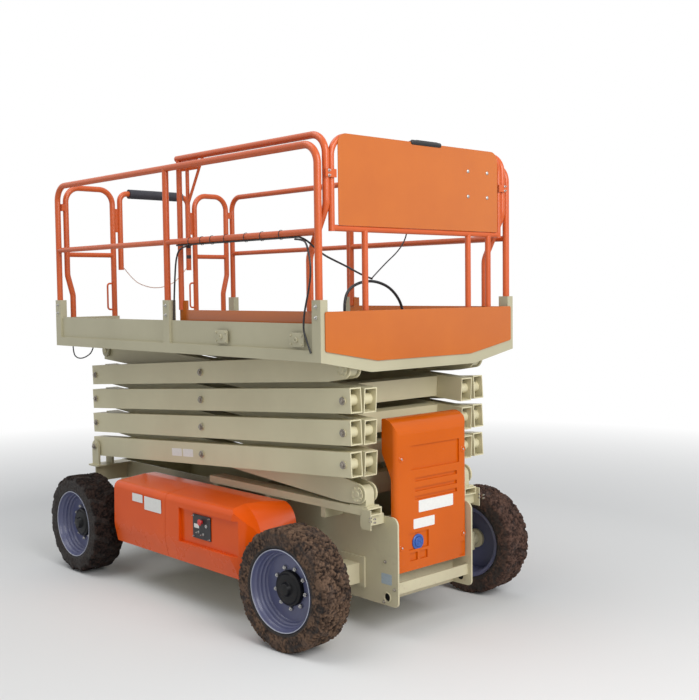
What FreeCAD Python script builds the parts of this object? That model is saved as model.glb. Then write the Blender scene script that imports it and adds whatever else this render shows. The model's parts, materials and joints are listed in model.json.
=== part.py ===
import FreeCAD, Part
import math
import os
from FreeCAD import Placement, Rotation, Vector

# A self-propelled scissor lift for rough ground: a wheeled chassis, four
# levels of crossed arms, a railed platform and a deck that rolls out of its
# front. All lengths are in millimetres. X runs from the platform's gate end
# to the steered end, Y across the machine and Z up from the ground. The
# origin is the centre of the machine's footprint, on the ground.

os.makedirs("parts", exist_ok=True)
doc = FreeCAD.newDocument("scissor_lift")
sheet = doc.addObject("Spreadsheet::Sheet", "Sizes")

# Every size that can be chosen by itself, with what it measures.
SIZES = (
    ("overall_length", 3070, "platform's gate end to the chassis plates' front edge"),
    ("arm_length", 2776, "scissor arm, pin to pin"),
    ("level_pitch", 180.6, "height gained by one stowed level"),
    ("bottom_pin_height", 853, "lowest arm pins above the ground"),
    ("rear_pin_setback", 124, "rear pins ahead of the platform's gate end"),
    ("outer_arm_face", 570, "outer arm's outer face from the centre plane"),
    ("outer_arm_width", 87, "outer arm tube, across"),
    ("inner_arm_face", 463.5, "inner arm's outer face from the centre plane"),
    ("inner_arm_width", 98.5, "inner arm tube, across"),
    ("arm_height", 143, "arm tube, up and down"),
    ("arm_wall", 7, "arm tube wall"),
    ("front_overhang", 58, "arm tube past its front pin"),
    ("rear_overhang", 50, "arm tube past its rear pin"),
    ("pin_radius", 20, "arm pin"),
    ("sleeve_radius", 33, "pin sleeve through an arm tube"),
    ("pin_play", 0.1, "gap between a turning sleeve and its pin, all round"),
    ("pin_end", 9, "arm pins' ends past the outer plate they hold"),
    ("end_depth", 150, "open arm ends, past their pin"),
    ("lug_plate", 16, "lug plates beside the arm ends"),
    ("lug_radius", 46, "round top of the lug plates"),
    ("running_gap", 6, "side gap between moving plates"),
    ("cross_tube_setback", 190, "inner arm cross tube behind the end pin"),
    ("first_cross_setback", 175, "the same on the first level"),
    ("rear_cross_setback", 95, "inner arm rear cross tube ahead of the end pin"),
    ("cross_tube_depth", 90, "inner arm cross tube, along the arm"),
    ("cross_tube_height", 126, "inner arm cross tube, up and down"),
    ("cylinder_foot", 270, "cylinder foot pin from the first inner arms' front pins"),
    ("cylinder_eye", 190, "cylinder eye pin from the second inner arms' rear pins"),
    ("barrel_radius", 76, "lift cylinder barrel"),
    ("barrel_length", 2255, "lift cylinder barrel from its foot pin to its gland"),
    ("lift_rod_radius", 46, "lift cylinder rod"),
    ("cylinder_pin_radius", 24, "pins of the lift cylinder"),
    ("cylinder_eye_radius", 42, "round ends of the lift cylinder"),
    ("cylinder_lug", 24, "thickness of the cylinder's lugs"),
    ("plate_face", 325, "chassis side plate's outer face from the centre plane"),
    ("plate_thickness", 12, "chassis side plates"),
    ("plate_top", 715, "top edge of the chassis plates"),
    ("plate_bottom", 196, "bottom edge of the chassis plates at the steered end"),
    ("chassis_tail", 88, "chassis plates' end behind the rear pins"),
    ("lashing_radius", 20, "lashing holes at the gate end"),
    ("lashing_inset", 34, "lashing holes ahead of the chassis plates' end"),
    ("lashing_drop", 75, "lashing holes below the chassis plates' top"),
    ("hook_inset", 88, "front hook holes behind the chassis plates' front edge"),
    ("hook_rise", 48, "front hook holes above the chassis plates' bottom"),
    ("hook_radius", 24, "front hook holes"),
    ("rod_window", 40, "holes in the chassis plates for the tie rod"),
    ("outrigger_half", 20, "outriggers under the slide tracks, half their width"),
    ("outrigger_depth", 60, "outriggers, up and down"),
    ("stop_plate", 6, "bolted plates at the slide tracks' front ends"),
    ("belly_bottom", 300, "bottom edge of the chassis between the axles"),
    ("shoe_reach", 73, "end pins to the running faces of the tracks"),
    ("nose_radius", 58, "round noses of the arm ends that hold a slide shoe"),
    ("nose_length", 130, "forked end of an arm that holds a slide shoe"),
    ("nose_wall", 10, "walls of the forked ends"),
    ("track_height", 46, "slide track, up and down"),
    ("track_start", -95, "rear end of the slide track"),
    ("track_end", 1445, "front end of the slide track"),
    ("rear_axle_place", -1181.6, "rear axle along the machine"),
    ("front_axle_place", 1170, "steered axle along the machine"),
    ("tyre_radius", 347, "tyre to the faces of its lugs"),
    ("lug_height", 16, "tyre lugs"),
    ("lug_half_width", 17, "tyre lugs, half their width"),
    ("lug_slant", 24, "slant of the tyre lugs, degrees"),
    ("tyre_width", 235, "tyre, across"),
    ("tyre_face", 918, "outer face of the tyres from the centre plane"),
    ("rim_radius", 236, "rim lip"),
    ("barrel_inner", 206, "inside of the rim's barrel"),
    ("kingpin_track", 723, "kingpins from the centre plane"),
    ("steer_rest", 5.5, "steering angle that the machine stands at"),
    ("steer_arm", 140, "kingpin to tie rod"),
    ("fork_depth", 80, "kingpins beyond the ends of the steered axle's beam"),
    ("cover_face", 830, "side covers' outer face from the centre plane"),
    ("cover_wall", 6, "wall of the moulded covers"),
    ("cover_bottom", 288, "bottom edge of the side covers"),
    ("cover_shoulder", 706, "top of the side covers at their outer edge"),
    ("cover_top", 728, "top of the side covers at their inner edge"),
    ("cover_inner", 492, "side covers' inner edge from the centre plane"),
    ("cover_rear", -735, "rear end of the side covers"),
    ("cover_seam", -90, "seam between the side covers"),
    ("cover_front", 850, "front end of the side covers"),
    ("nose_outer_front", 757, "front end of a side cover's nose at its outer face"),
    ("nose_outer_bend", 250, "bend of the nose's top at its outer face"),
    ("nose_inner_bend", 110, "bend of the nose's top at its inner edge"),
    ("nose_middle", 690, "where the nose starts to swell inwards, from the centre plane"),
    ("nose_rise", 2, "nose's lofted top above the side covers"),
    ("recess_depth", 24, "control recess in the near front cover"),
    ("recess_rear", 66, "rear end of the control recess"),
    ("panel_rear", 205, "rear edge of the ground control panel"),
    ("panel_front", 395, "front edge of the ground control panel"),
    ("recess_bottom", 424, "bottom of the control recess"),
    ("recess_top", 640, "top of the control recess"),
    ("panel_plate", 6, "ground control panel, thickness"),
    ("tray_inset", 40, "battery trays' outer edge inside the side covers"),
    ("tray_sheet", 26, "battery trays, up and down"),
    ("battery_rise", 40, "battery packs above the covers' bottom"),
    ("cover_split", 4, "gap at the seam between the side covers"),
    ("battery_height", 290, "battery packs, up and down"),
    ("end_cover_half", 308, "end cover, half its width"),
    ("end_cover_face", 1508, "front face of the end cover"),
    ("end_cover_top", 1275, "top of the end cover"),
    ("end_cover_bottom", 385, "bottom of the end cover"),
    ("end_cover_depth", 112, "end cover's rounded top, front to back"),
    ("end_cover_skirt", 40, "end cover below its rounded top, front to back"),
    ("end_recess", 10, "depth of the end cover's recesses"),
    ("deck_half", 819.7, "half the width of the platform frame"),
    ("deck_front", 1460, "front edge of the platform frame"),
    ("deck_bottom", 1627, "bottom of the platform frame"),
    ("floor_top", 1715, "standing face of the main floor"),
    ("floor_sheet", 4, "floor sheets"),
    ("toe_top", 1835, "top of the platform's side channels"),
    ("socket_top", 1963, "top of the rail sockets"),
    ("rail_top", 2822, "top of the main rails"),
    ("rail_middle", 2350, "top of the middle rails"),
    ("rail_tube", 42, "main rail tube, diameter"),
    ("middle_tube", 36, "middle rail tube, diameter"),
    ("extension_tube", 40, "roll-out deck's rail loops, diameter"),
    ("rail_bend", 110, "bend of the rails' corners, on the tube's centre line"),
    ("rail_inset", 22.7, "main side rails' axis inside the platform's side face"),
    ("extension_inset", 74.7, "roll-out deck's side rails' axis inside the platform's side face"),
    ("extension_top", 2877, "top of the roll-out deck's rails"),
    ("extension_rear", 12, "rear end of the roll-out deck's rails"),
    ("gate_near", -312, "gate opening's edge on the near side"),
    ("gate_far", 388, "gate opening's edge on the far side"),
    ("panel_inset", 28.7, "front panel's ends inside the platform's side face"),
    ("panel_top", 1900, "top of the front panel"),
    ("shoe_sole", 7, "sole of a slide shoe"),
    ("shoe_half", 70, "foot of a slide shoe, half its length"),
    ("track_wall", 8, "wall of the slide tracks"),
    ("shelf_reach", 66, "rear pivot shelf ahead of and behind its pins"),
    ("belly_step_rear", 820, "where the side plates' bottom starts to drop"),
    ("belly_step_front", 900, "where the side plates' bottom is at its lowest"),
    ("front_wall", 1372, "rear face of the chassis's front wall"),
    ("axle_half", 60, "axle beams, half their height"),
    ("hub_inner", 806, "mounting face of the wheels from the centre plane"),
    ("hub_radius", 62, "wheel hub"),
    ("hub_depth", 74, "hub cap's face behind the tyre's outer face"),
    ("disc_depth", 98, "wheel disc's face behind the tyre's outer face"),
    ("disc_sheet", 14, "wheel disc, thickness"),
    ("lip_inset", 6, "rim lips inside the tyre's width"),
    ("knuckle_radius", 36, "steering knuckle's post"),
    ("tie_rod_rise", 34, "tie rod above the wheel centres"),
    ("spindle_radius", 38, "wheel spindle of the steered axle"),
    ("steer_pin", 10, "tie rod pins"),
    ("channel_width", 60, "platform's side channel, across"),
    ("flange_height", 63, "platform's side channel, height of its box flange"),
    ("web_inset", 16, "toe web behind the side channel's outer face"),
    ("socket_width", 72, "rail socket along the machine"),
    ("middle_socket", -77, "rear face of the middle rail sockets"),
    ("socket_clear", 34, "floor's edge inside the toe webs"),
    ("joist_rise", 49, "joists above the platform frame's bottom"),
    ("apron_flat", 440, "front apron's lowest part, half its width"),
    ("apron_drop", 72, "front apron below the platform frame"),
    ("panel_gap", 2, "roll-out deck's panel in front of the platform frame"),
    ("panel_sheet", 5, "front panel's sheet"),
    ("panel_flat", 400, "front panel's lowest part, half its width"),
    ("extension_sheet", 12, "roll-out floor above the main floor"),
    ("guard_inset", 71, "guard sheet's ends inside the roll-out deck's side rails"),
    ("guard_bottom", 2366, "bottom edge of the guard sheet"),
    ("guard_top", 2863, "top edge of the guard sheet"),
    ("guard_sheet_gauge", 3, "guard sheet, thickness"),
    ("guard_frame_drop", 12, "guard frame's top below the roll-out deck's rails"),
    ("guard_frame_foot", 2352, "guard frame's bottom tube above the ground"),
    ("leg_joggle", 142, "roll-out deck's front legs, step back"),
    ("joggle_low", 2200, "lower end of that step above the ground"),
    ("joggle_high", 2470, "upper end of that step above the ground"),
    ("gate_joggle", 40, "gate loops' outer legs, step inwards"),
    ("gate_step_low", 2000, "lower end of that step above the ground"),
    ("gate_step_high", 2150, "upper end of that step above the ground"),
    ("header_axis", 2780, "gate header above the ground, at its tube's centre"),
    ("header_bend", 62, "bend of the gate header's corners, on the tube's centre line"),
    ("header_foot", 2190, "lower ends of the header's legs above the ground"),
    ("header_pad_radius", 36, "foam pad on the gate header"),
    ("grab_tube", 14, "grab bars beside the gate, diameter"),
    ("grab_reach", 58, "grab bars' distance from the gate posts"),
    ("lever_radius", 12, "latch lever of the roll-out deck"),
    ("lever_place", 122, "latch lever along the machine"),
    ("lever_foot", 2219, "lower end of the latch lever above the ground"),
    ("ladder_half", 200, "entry ladder, half its width"),
    ("ladder_middle", 38, "entry ladder's middle from the centre plane"),
    ("ladder_depth", 34, "entry ladder's rails, front to back"),
    ("ladder_rail", 36, "entry ladder's rails, across"),
    ("ladder_foot", 330, "lower end of the entry ladder above the ground"),
    ("ladder_top", 1595, "upper end of the entry ladder above the ground"),
    ("rung_pitch", 276, "entry ladder's treads, one to the next"),
    ("tread_height", 30, "entry ladder's treads, up and down"),
    ("cable_width", 11, "rail cable, diameter"),
    ("loop_width", 17, "control lead's slack loop, diameter"),
    ("riser_width", 8, "control box's riser, diameter"),
    ("hose_width", 9, "hose loop under the platform, diameter"),
    ("chain_width", 9, "gate chain over its links"),
    ("seat_gap", 0.3, "gap left between pieces that rest on each other"),
)


class Dim:
    """A length with both its value and its expression over the sheet."""

    def __init__(self, text, value):
        self.text = text
        self.value = float(value)

    def __add__(self, other):
        other = dim(other)
        return Dim("(%s + %s)" % (self.text, other.text), self.value + other.value)

    def __radd__(self, other):
        return dim(other) + self

    def __sub__(self, other):
        other = dim(other)
        return Dim("(%s - %s)" % (self.text, other.text), self.value - other.value)

    def __rsub__(self, other):
        return dim(other) - self

    def __mul__(self, other):
        other = dim(other)
        return Dim("(%s * %s)" % (self.text, other.text), self.value * other.value)

    def __rmul__(self, other):
        return dim(other) * self

    def __truediv__(self, other):
        other = dim(other)
        return Dim("(%s / %s)" % (self.text, other.text), self.value / other.value)

    def __neg__(self):
        return Dim("(-%s)" % self.text, -self.value)

    def __float__(self):
        return self.value


def dim(value):
    """Takes a number as a length."""
    if isinstance(value, Dim):
        return value
    return Dim("%.6f" % value, value)


class Table:
    """The sheet's sizes by name."""


S = Table()
rows_written = 0


def set_size(alias, value, note):
    """Writes one named size into the sheet and keeps it by name."""
    global rows_written
    rows_written += 1
    sheet.set("A%d" % rows_written, note)
    sheet.set("B%d" % rows_written, "%.6f" % value)
    sheet.setAlias("B%d" % rows_written, alias)
    setattr(S, alias, Dim("Sizes." + alias, value))


for alias, value, note in SIZES:
    set_size(alias, value, note)

# Sizes that follow from the ones above.
stow_radians = math.asin(S.level_pitch.value / S.arm_length.value)
set_size("stow_angle", math.degrees(stow_radians), "slope of the stowed arms")
set_size("stow_span", S.arm_length.value * math.cos(stow_radians), "stowed arm in plan")
doc.recompute()

set_size("rail_line", S.deck_half.value - S.rail_inset.value, "main side rails from the centre plane")
set_size("extension_line", S.deck_half.value - S.extension_inset.value, "roll-out deck's side rails, the same")
set_size("panel_half", S.deck_half.value - S.panel_inset.value, "front panel, half its width")
set_size("guard_half", S.extension_line.value - S.guard_inset.value, "guard sheet, half its width")
HALF_LENGTH = S.overall_length / 2
REAR_PIN_X = S.rear_pin_setback - HALF_LENGTH
FRONT_PIN_X = REAR_PIN_X + S.stow_span
LEVELS = (1, 2, 3, 4)
LUGS = 16
lug_turn = math.radians(S.lug_slant.value)
lug_sweep = S.lug_half_width.value * math.cos(lug_turn) + (S.tyre_width.value / 4 - 4) * math.sin(lug_turn)
lug_corner = math.hypot(S.tyre_radius.value, lug_sweep)
corner_turn = math.pi / LUGS - math.atan2(lug_sweep, S.tyre_radius.value)
set_size("axle_height", lug_corner * math.cos(corner_turn), "wheel centres above the ground")
doc.recompute()
AXLE_HEIGHT = S.axle_height
TRACK_TOP = S.bottom_pin_height - S.shoe_reach
OUTER_IN = S.outer_arm_face - S.outer_arm_width
INNER_IN = S.inner_arm_face - S.inner_arm_width
DECK_REAR = -HALF_LENGTH
SIDES = (("near", -1), ("far", 1))
nodes = []


def pin_height(level):
    """Height of the pins under a level."""
    return S.bottom_pin_height + S.level_pitch * (level - 1)


def box(name, x_low, x_high, y_low, y_high, z_low, z_high):
    """A block between two corners."""
    made = doc.addObject("Part::Box", name)
    low = [dim(value) for value in (x_low, y_low, z_low)]
    high = [dim(value) for value in (x_high, y_high, z_high)]
    for side, start, end in zip(("Length", "Width", "Height"), low, high):
        made.setExpression(side, (end - start).text)
    for axis, start in zip("xyz", low):
        made.setExpression("Placement.Base." + axis, start.text)
    return made


TURNS = {
    "x": Rotation(Vector(0, 1, 0), 90),
    "y": Rotation(Vector(1, 0, 0), -90),
    "z": Rotation(),
}


def rod(name, axis, low, high, across, radius):
    """A cylinder along an axis; across holds its other two coordinates in order."""
    made = doc.addObject("Part::Cylinder", name)
    made.Placement = Placement(Vector(), TURNS[axis])
    low = dim(low)
    high = dim(high)
    centre = [dim(value) for value in across]
    centre.insert("xyz".index(axis), low)
    made.setExpression("Radius", dim(radius).text)
    made.setExpression("Height", (high - low).text)
    for letter, place in zip("xyz", centre):
        made.setExpression("Placement.Base." + letter, place.text)
    return made


def fused(label, pieces):
    """Joins touching pieces."""
    made = doc.addObject("Part::MultiFuse", label)
    made.Shapes = pieces
    return made


def cut(label, base, tool):
    """Takes one piece out of another."""
    made = doc.addObject("Part::Cut", label)
    made.Base = base
    made.Tool = tool
    return made


def shared(label, first, second):
    """Keeps what two pieces have in common."""
    made = doc.addObject("Part::Common", label)
    made.Base = first
    made.Tool = second
    return made


def together(label, pieces):
    """Keeps pieces that don't touch as one sub-part."""
    made = doc.addObject("Part::Compound", label)
    made.Links = pieces
    return made


def mirrored(label, piece):
    """The same piece on the other side of the centre plane."""
    made = doc.addObject("Part::Mirroring", label)
    made.Source = piece
    made.Normal = Vector(0, 1, 0)
    return made


def pair(label, piece):
    """A piece and its mirror image."""
    return together(label, [piece, mirrored(label + "_other", piece)])


def node(label, made):
    """Names a finished sub-part; its label is its file's name."""
    made.Label = label
    nodes.append(made)
    return made


def outline(corners):
    """Lines and tangent corner arcs through corners given as (a, b, radius)."""
    points = [Vector(float(a), float(b), 0) for a, b, radius in corners]
    radii = [float(radius) for a, b, radius in corners]
    count = len(points)
    starts = []
    ends = []
    middles = []
    for index in range(count):
        here = points[index]
        back = (points[index - 1] - here)
        ahead = (points[(index + 1) % count] - here)
        back.normalize()
        ahead.normalize()
        radius = radii[index]
        if radius <= 0:
            starts.append(here)
            ends.append(here)
            middles.append(None)
            continue
        half = back.getAngle(ahead) / 2
        reach = radius / math.tan(half)
        bisector = back + ahead
        bisector.normalize()
        centre = here + bisector * (radius / math.sin(half))
        starts.append(here + back * reach)
        ends.append(here + ahead * reach)
        middles.append(centre - bisector * radius)
    edges = []
    for index in range(count):
        if middles[index] is not None:
            edges.append(Part.Arc(starts[index], middles[index], ends[index]))
        following = starts[(index + 1) % count]
        if ends[index].distanceToPoint(following) > 1e-6:
            edges.append(Part.LineSegment(ends[index], following))
    return edges


def origin_plane(body, role):
    """One of a body's own origin planes."""
    return [item for item in body.Origin.OriginFeatures if item.Role == role][0]


def plate(name, role, corners, start, thickness, holes=()):
    """A padded outline on an origin plane, from start over its thickness.

    Round holes are given as (a, b, radius). On XZ_Plane the pad runs towards
    negative Y, so start is its face of greatest Y.
    """
    body = doc.addObject("PartDesign::Body", name)
    sketch = body.newObject("Sketcher::SketchObject", name + "_outline")
    sketch.AttachmentSupport = (origin_plane(body, role), [""])
    sketch.MapMode = "FlatFace"
    offset = -dim(start) if role == "XZ_Plane" else dim(start)
    sketch.setExpression("AttachmentOffset.Base.z", offset.text)
    sketch.addGeometry(outline(corners), False)
    for a, b, radius in holes:
        centre = Vector(float(a), float(b), 0)
        sketch.addGeometry(Part.Circle(centre, Vector(0, 0, 1), float(radius)), False)
    pad = body.newObject("PartDesign::Pad", name + "_pad")
    pad.Profile = sketch
    pad.setExpression("Length", dim(thickness).text)
    return body


def turned(name, corners, place):
    """A profile of (radius, y) corners turned about the Y axis."""
    body = doc.addObject("PartDesign::Body", name)
    sketch = body.newObject("Sketcher::SketchObject", name + "_profile")
    sketch.AttachmentSupport = (origin_plane(body, "XY_Plane"), [""])
    sketch.MapMode = "FlatFace"
    sketch.addGeometry(outline(corners), False)
    wheel = body.newObject("PartDesign::Revolution", name + "_turned")
    wheel.Profile = sketch
    wheel.ReferenceAxis = (sketch, ["V_Axis"])
    wheel.Angle = 360
    body.Placement = place
    return body


def tube(name, points, diameter, bends):
    """A round tube along points: straight runs joined by tangent bends.

    bends holds one radius for each point between the ends.
    """
    spots = [Vector(*[float(value) for value in point]) for point in points]
    section = dim(diameter) / 2
    pieces = []
    last = spots[0]
    for index in range(1, len(spots)):
        here = spots[index]
        heading = here - last
        heading.normalize()
        reach = 0.0
        if index < len(spots) - 1:
            bend = float(bends[index - 1])
            back = spots[index - 1] - here
            ahead = spots[index + 1] - here
            back.normalize()
            ahead.normalize()
            opening = back.getAngle(ahead)
            reach = bend / math.tan(opening / 2)
        run = doc.addObject("Part::Cylinder", "%s_run_%d" % (name, index))
        run.setExpression("Radius", section.text)
        run.Height = (here - last).Length - reach
        run.Placement = Placement(last, Rotation(Vector(0, 0, 1), heading))
        pieces.append(run)
        if reach == 0.0:
            break
        # The bend's ring is centred inside the corner, in the corner's plane.
        normal = back.cross(ahead)
        normal.normalize()
        bisector = back + ahead
        bisector.normalize()
        centre = here + bisector * (bend / math.sin(opening / 2))
        first = here + ahead * reach
        outward = first - centre
        outward.normalize()
        ring = doc.addObject("Part::Torus", "%s_bend_%d" % (name, index))
        ring.Radius1 = bend
        ring.setExpression("Radius2", section.text)
        ring.Angle3 = 180 - math.degrees(opening)
        side = normal.cross(outward)
        ring.Placement = Placement(centre, Rotation(outward, side, normal, "ZXY"))
        pieces.append(ring)
        last = first
    return fused(name, pieces) if len(pieces) > 1 else pieces[0]


def rail(name, points, diameter):
    """A rail tube: every corner has the rails' bend."""
    return tube(name, points, diameter, [S.rail_bend] * (len(points) - 2))


cords = []
SLACK = 0.45


def cord(name, points, diameter):
    """A limp cord; each bend is as wide as its two runs allow."""
    spots = [Vector(*[float(value) for value in point]) for point in points]
    bends = []
    length = 0.0
    for index in range(1, len(spots)):
        length += (spots[index] - spots[index - 1]).Length
    for index in range(1, len(spots) - 1):
        back = spots[index - 1] - spots[index]
        ahead = spots[index + 1] - spots[index]
        half_turn = (math.pi - back.getAngle(ahead)) / 2
        bend = SLACK * min(back.Length, ahead.Length) / math.tan(half_turn)
        bends.append(bend)
        length -= 2 * bend * (math.tan(half_turn) - half_turn)
    made = tube(name, points, diameter, bends)
    cords.append((made, float(diameter), length, bends))
    return node(name, made)


# Scissor arms. Each level crosses a pair of outer arms, which rise towards
# the steered end, with a pair of inner arms, which rise towards the gate.
# An arm is a rectangular tube left open at its ends, with a sleeve welded
# through it at each end's pin.


def end_room(name, x_end, x_pin, y_low, y_high):
    """The room in an open arm end, from the cut face to behind the pin's sleeve."""
    inward = 1 if float(x_pin) > float(x_end) else -1
    half = S.arm_height / 2 - S.arm_wall
    face = x_end - inward
    back = x_pin + S.end_depth * inward
    low, high = (face, back) if inward > 0 else (back, face)
    return box(name, low, high, y_low + S.arm_wall, y_high - S.arm_wall, -half, half)


def arm_tube(name, x_low, x_high, y_low, y_high, open_ends, bores):
    """An arm's tube; open_ends holds (end, pin) places and bores the places of turning pins."""
    half = S.arm_height / 2
    made = box(name + "_skin", x_low, x_high, y_low, y_high, -half, half)
    for index, (x_end, x_pin) in enumerate(open_ends):
        tag = "%s_end_%d" % (name, index)
        hollow = cut(tag + "_hollow", made, end_room(tag + "_room", x_end, x_pin, y_low, y_high))
        sleeve = rod(tag + "_sleeve", "y", y_low + 1, y_high - 1, (x_pin, 0), S.sleeve_radius)
        made = fused(tag + "_sleeved", [hollow, sleeve])
    for index, place in enumerate(bores):
        tag = "%s_bore_%d" % (name, index)
        bore = rod(tag, "y", y_low - 1, y_high + 1, (place, 0), S.pin_radius + S.pin_play)
        made = cut(tag + "_bored", made, bore)
    return made


def fixed_pin(name, place, reach, root):
    """A pin welded into an arm, from inside it out through what turns on it."""
    return rod(name, "y", -reach - S.pin_end, -root, (place, 0), S.pin_radius)


def fork(name, x_pin, x_root, y_low, y_high):
    """Two walls with round noses that carry an arm's tube past its end."""
    walls = []
    for tag, start in (("a", y_low + S.nose_wall), ("b", y_high)):
        corners = [
            (x_root, -S.arm_height / 2, 0),
            (x_pin, -S.nose_radius, 0),
            (x_pin, S.nose_radius, 0),
            (x_root, S.arm_height / 2, 0),
        ]
        if float(x_pin) < float(x_root):
            corners.reverse()
        wall = plate(name + "_wall_" + tag, "XZ_Plane", corners, start, S.nose_wall)
        nose = rod(name + "_nose_" + tag, "y", start - S.nose_wall, start, (x_pin, 0), S.nose_radius)
        walls.extend([wall, nose])
    return walls


def slope(made, x_place, z_place, rising_forward):
    """Lays an arm from its own frame to its stowed slope."""
    turn = -1 if rising_forward else 1
    made.Placement = Placement(Vector(), Rotation(Vector(0, 1, 0), turn * S.stow_angle.value))
    made.setExpression("Placement.Base.x", dim(x_place).text)
    made.setExpression("Placement.Base.z", dim(z_place).text)
    return made


RUNNING_BORE = S.pin_radius + S.pin_play
HALF_ARM = S.arm_length / 2
LUG_IN = S.outer_arm_face + S.running_gap
LUG_OUT = LUG_IN + S.lug_plate
for level in LEVELS:
    name = "outer_arms_%d" % level
    holds_shoe = level == LEVELS[-1]
    tube_end = S.arm_length - S.nose_length if holds_shoe else S.arm_length + S.front_overhang
    bores = [dim(0), HALF_ARM]
    open_ends = [(-S.rear_overhang, dim(0))]
    if not holds_shoe:
        bores.append(S.arm_length)
        open_ends.append((tube_end, S.arm_length))
    arm = arm_tube(
        name + "_near", -S.rear_overhang, tube_end, -S.outer_arm_face, -OUTER_IN, open_ends, bores
    )
    if holds_shoe:
        pieces = fork(name + "_fork", S.arm_length, tube_end - 2, -S.outer_arm_face, -OUTER_IN)
        pieces.append(fixed_pin(name + "_pin", S.arm_length, S.outer_arm_face, OUTER_IN + 3))
        arm = fused(name + "_forked", [arm] + pieces)
    made = pair(name, arm)
    node(name, slope(made, REAR_PIN_X, pin_height(level), True))

# The inner arms carry the pins that the outer arms, the slide shoes and the
# platform's lugs turn on.
for level in LEVELS:
    name = "inner_arms_%d" % level
    holds_shoe = level == LEVELS[0]
    tube_end = -S.nose_length if holds_shoe else S.front_overhang
    open_ends = [(-S.arm_length - S.rear_overhang, -S.arm_length)]
    if not holds_shoe:
        open_ends.append((tube_end, dim(0)))
    arm = arm_tube(
        name + "_near",
        -S.arm_length - S.rear_overhang,
        tube_end,
        -S.inner_arm_face,
        -INNER_IN,
        open_ends,
        [],
    )
    root = INNER_IN + S.arm_wall
    front_reach = S.inner_arm_face if holds_shoe else S.outer_arm_face
    rear_reach = S.inner_arm_face + S.running_gap + S.lug_plate if level == LEVELS[-1] else S.outer_arm_face
    side = [
        arm,
        fixed_pin(name + "_front_pin", dim(0), front_reach, root - 4),
        fixed_pin(name + "_middle_pin", -HALF_ARM, S.outer_arm_face, root),
        fixed_pin(name + "_rear_pin", -S.arm_length, rear_reach, root),
    ]
    if holds_shoe:
        side.extend(fork(name + "_fork", dim(0), tube_end - 2, -S.inner_arm_face, -INNER_IN))
    near = fused(name + "_side", side)
    pieces = [near, mirrored(name + "_far", near)]
    front_cross = -(S.first_cross_setback if holds_shoe else S.cross_tube_setback)
    rear_cross = S.rear_cross_setback - S.arm_length
    half_depth = S.cross_tube_depth / 2
    half_height = S.cross_tube_height / 2
    for tag, place in (("front", front_cross), ("rear", rear_cross)):
        pieces.append(
            box(
                "%s_cross_%s" % (name, tag),
                place - half_depth,
                place + half_depth,
                -INNER_IN,
                INNER_IN,
                -half_height,
                half_height,
            )
        )
    # The lift cylinder's lugs and pin stand on the cross tubes of two levels.
    if level in (1, 2):
        pin_place = -S.cylinder_foot if level == 1 else S.cylinder_eye - S.arm_length
        tube_face = front_cross - half_depth if level == 1 else rear_cross + half_depth
        low, high = (pin_place, tube_face) if level == 1 else (tube_face, pin_place)
        for side, start in (("near", -S.cylinder_lug * 2 - 1), ("far", S.cylinder_lug + 1)):
            tag = "%s_cylinder_lug_%s" % (name, side)
            stop = start + S.cylinder_lug
            pieces.append(
                box(tag + "_web", low, high, start, stop, -S.cylinder_eye_radius, S.cylinder_eye_radius)
            )
            pieces.append(rod(tag + "_eye", "y", start, stop, (pin_place, 0), S.cylinder_eye_radius))
        span = S.cylinder_lug * 2 + 1 + S.pin_end
        pieces.append(rod(name + "_cylinder_pin", "y", -span, span, (pin_place, 0), S.cylinder_pin_radius))
    node(name, slope(fused(name, pieces), FRONT_PIN_X, pin_height(level), False))

TOP_PIN = pin_height(LEVELS[-1] + 1)

# Slide shoes. Each is a block with a round head around an arm's end pin,
# between the walls of the arm's fork, and a sole that runs along a track.
INNER_LUG_IN = S.inner_arm_face + S.running_gap
INNER_LUG_OUT = INNER_LUG_IN + S.lug_plate


def lug(name, x_place, z_pin, z_foot, face):
    """A lug plate with a round head about a pin's place, standing on or hung from z_foot."""
    radius = S.lug_radius
    head = rod(name + "_head", "y", -face - S.lug_plate, -face, (x_place, z_pin), radius)
    low, high = (z_foot, z_pin) if float(z_foot) < float(z_pin) else (z_pin, z_foot)
    leg = box(name + "_leg", x_place - radius, x_place + radius, -face - S.lug_plate, -face, low, high)
    return fused(name, [head, leg])


def shoe(name, z_pin, side, y_low, y_high):
    """A slide shoe; side is -1 for a sole below the pin and 1 for one above."""
    y_in = y_low + S.nose_wall + S.running_gap
    y_out = y_high - S.nose_wall - S.running_gap
    sole_face = z_pin + (S.shoe_reach - S.seat_gap) * side
    sole_back = sole_face - S.shoe_sole * side
    head = rod(name + "_head", "y", y_in, y_out, (FRONT_PIN_X, z_pin), S.lug_radius)
    low, high = (sole_back, z_pin) if side < 0 else (z_pin, sole_back)
    stem = box(name + "_stem", FRONT_PIN_X - S.lug_radius, FRONT_PIN_X + S.lug_radius, y_in, y_out, low, high)
    low, high = (sole_face, sole_back) if side < 0 else (sole_back, sole_face)
    sole = box(name + "_sole", FRONT_PIN_X - S.shoe_half, FRONT_PIN_X + S.shoe_half, y_low, y_high, low, high)
    hole = rod(name + "_hole", "y", y_in - 1, y_out + 1, (FRONT_PIN_X, z_pin), RUNNING_BORE)
    return pair(name, cut(name + "_side", fused(name + "_block", [head, stem, sole]), hole))


node("lower_slides", shoe("lower_slides", S.bottom_pin_height, -1, -S.inner_arm_face, -INNER_IN))
node("upper_slides", shoe("upper_slides", TOP_PIN, 1, -S.outer_arm_face, -OUTER_IN))

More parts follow.
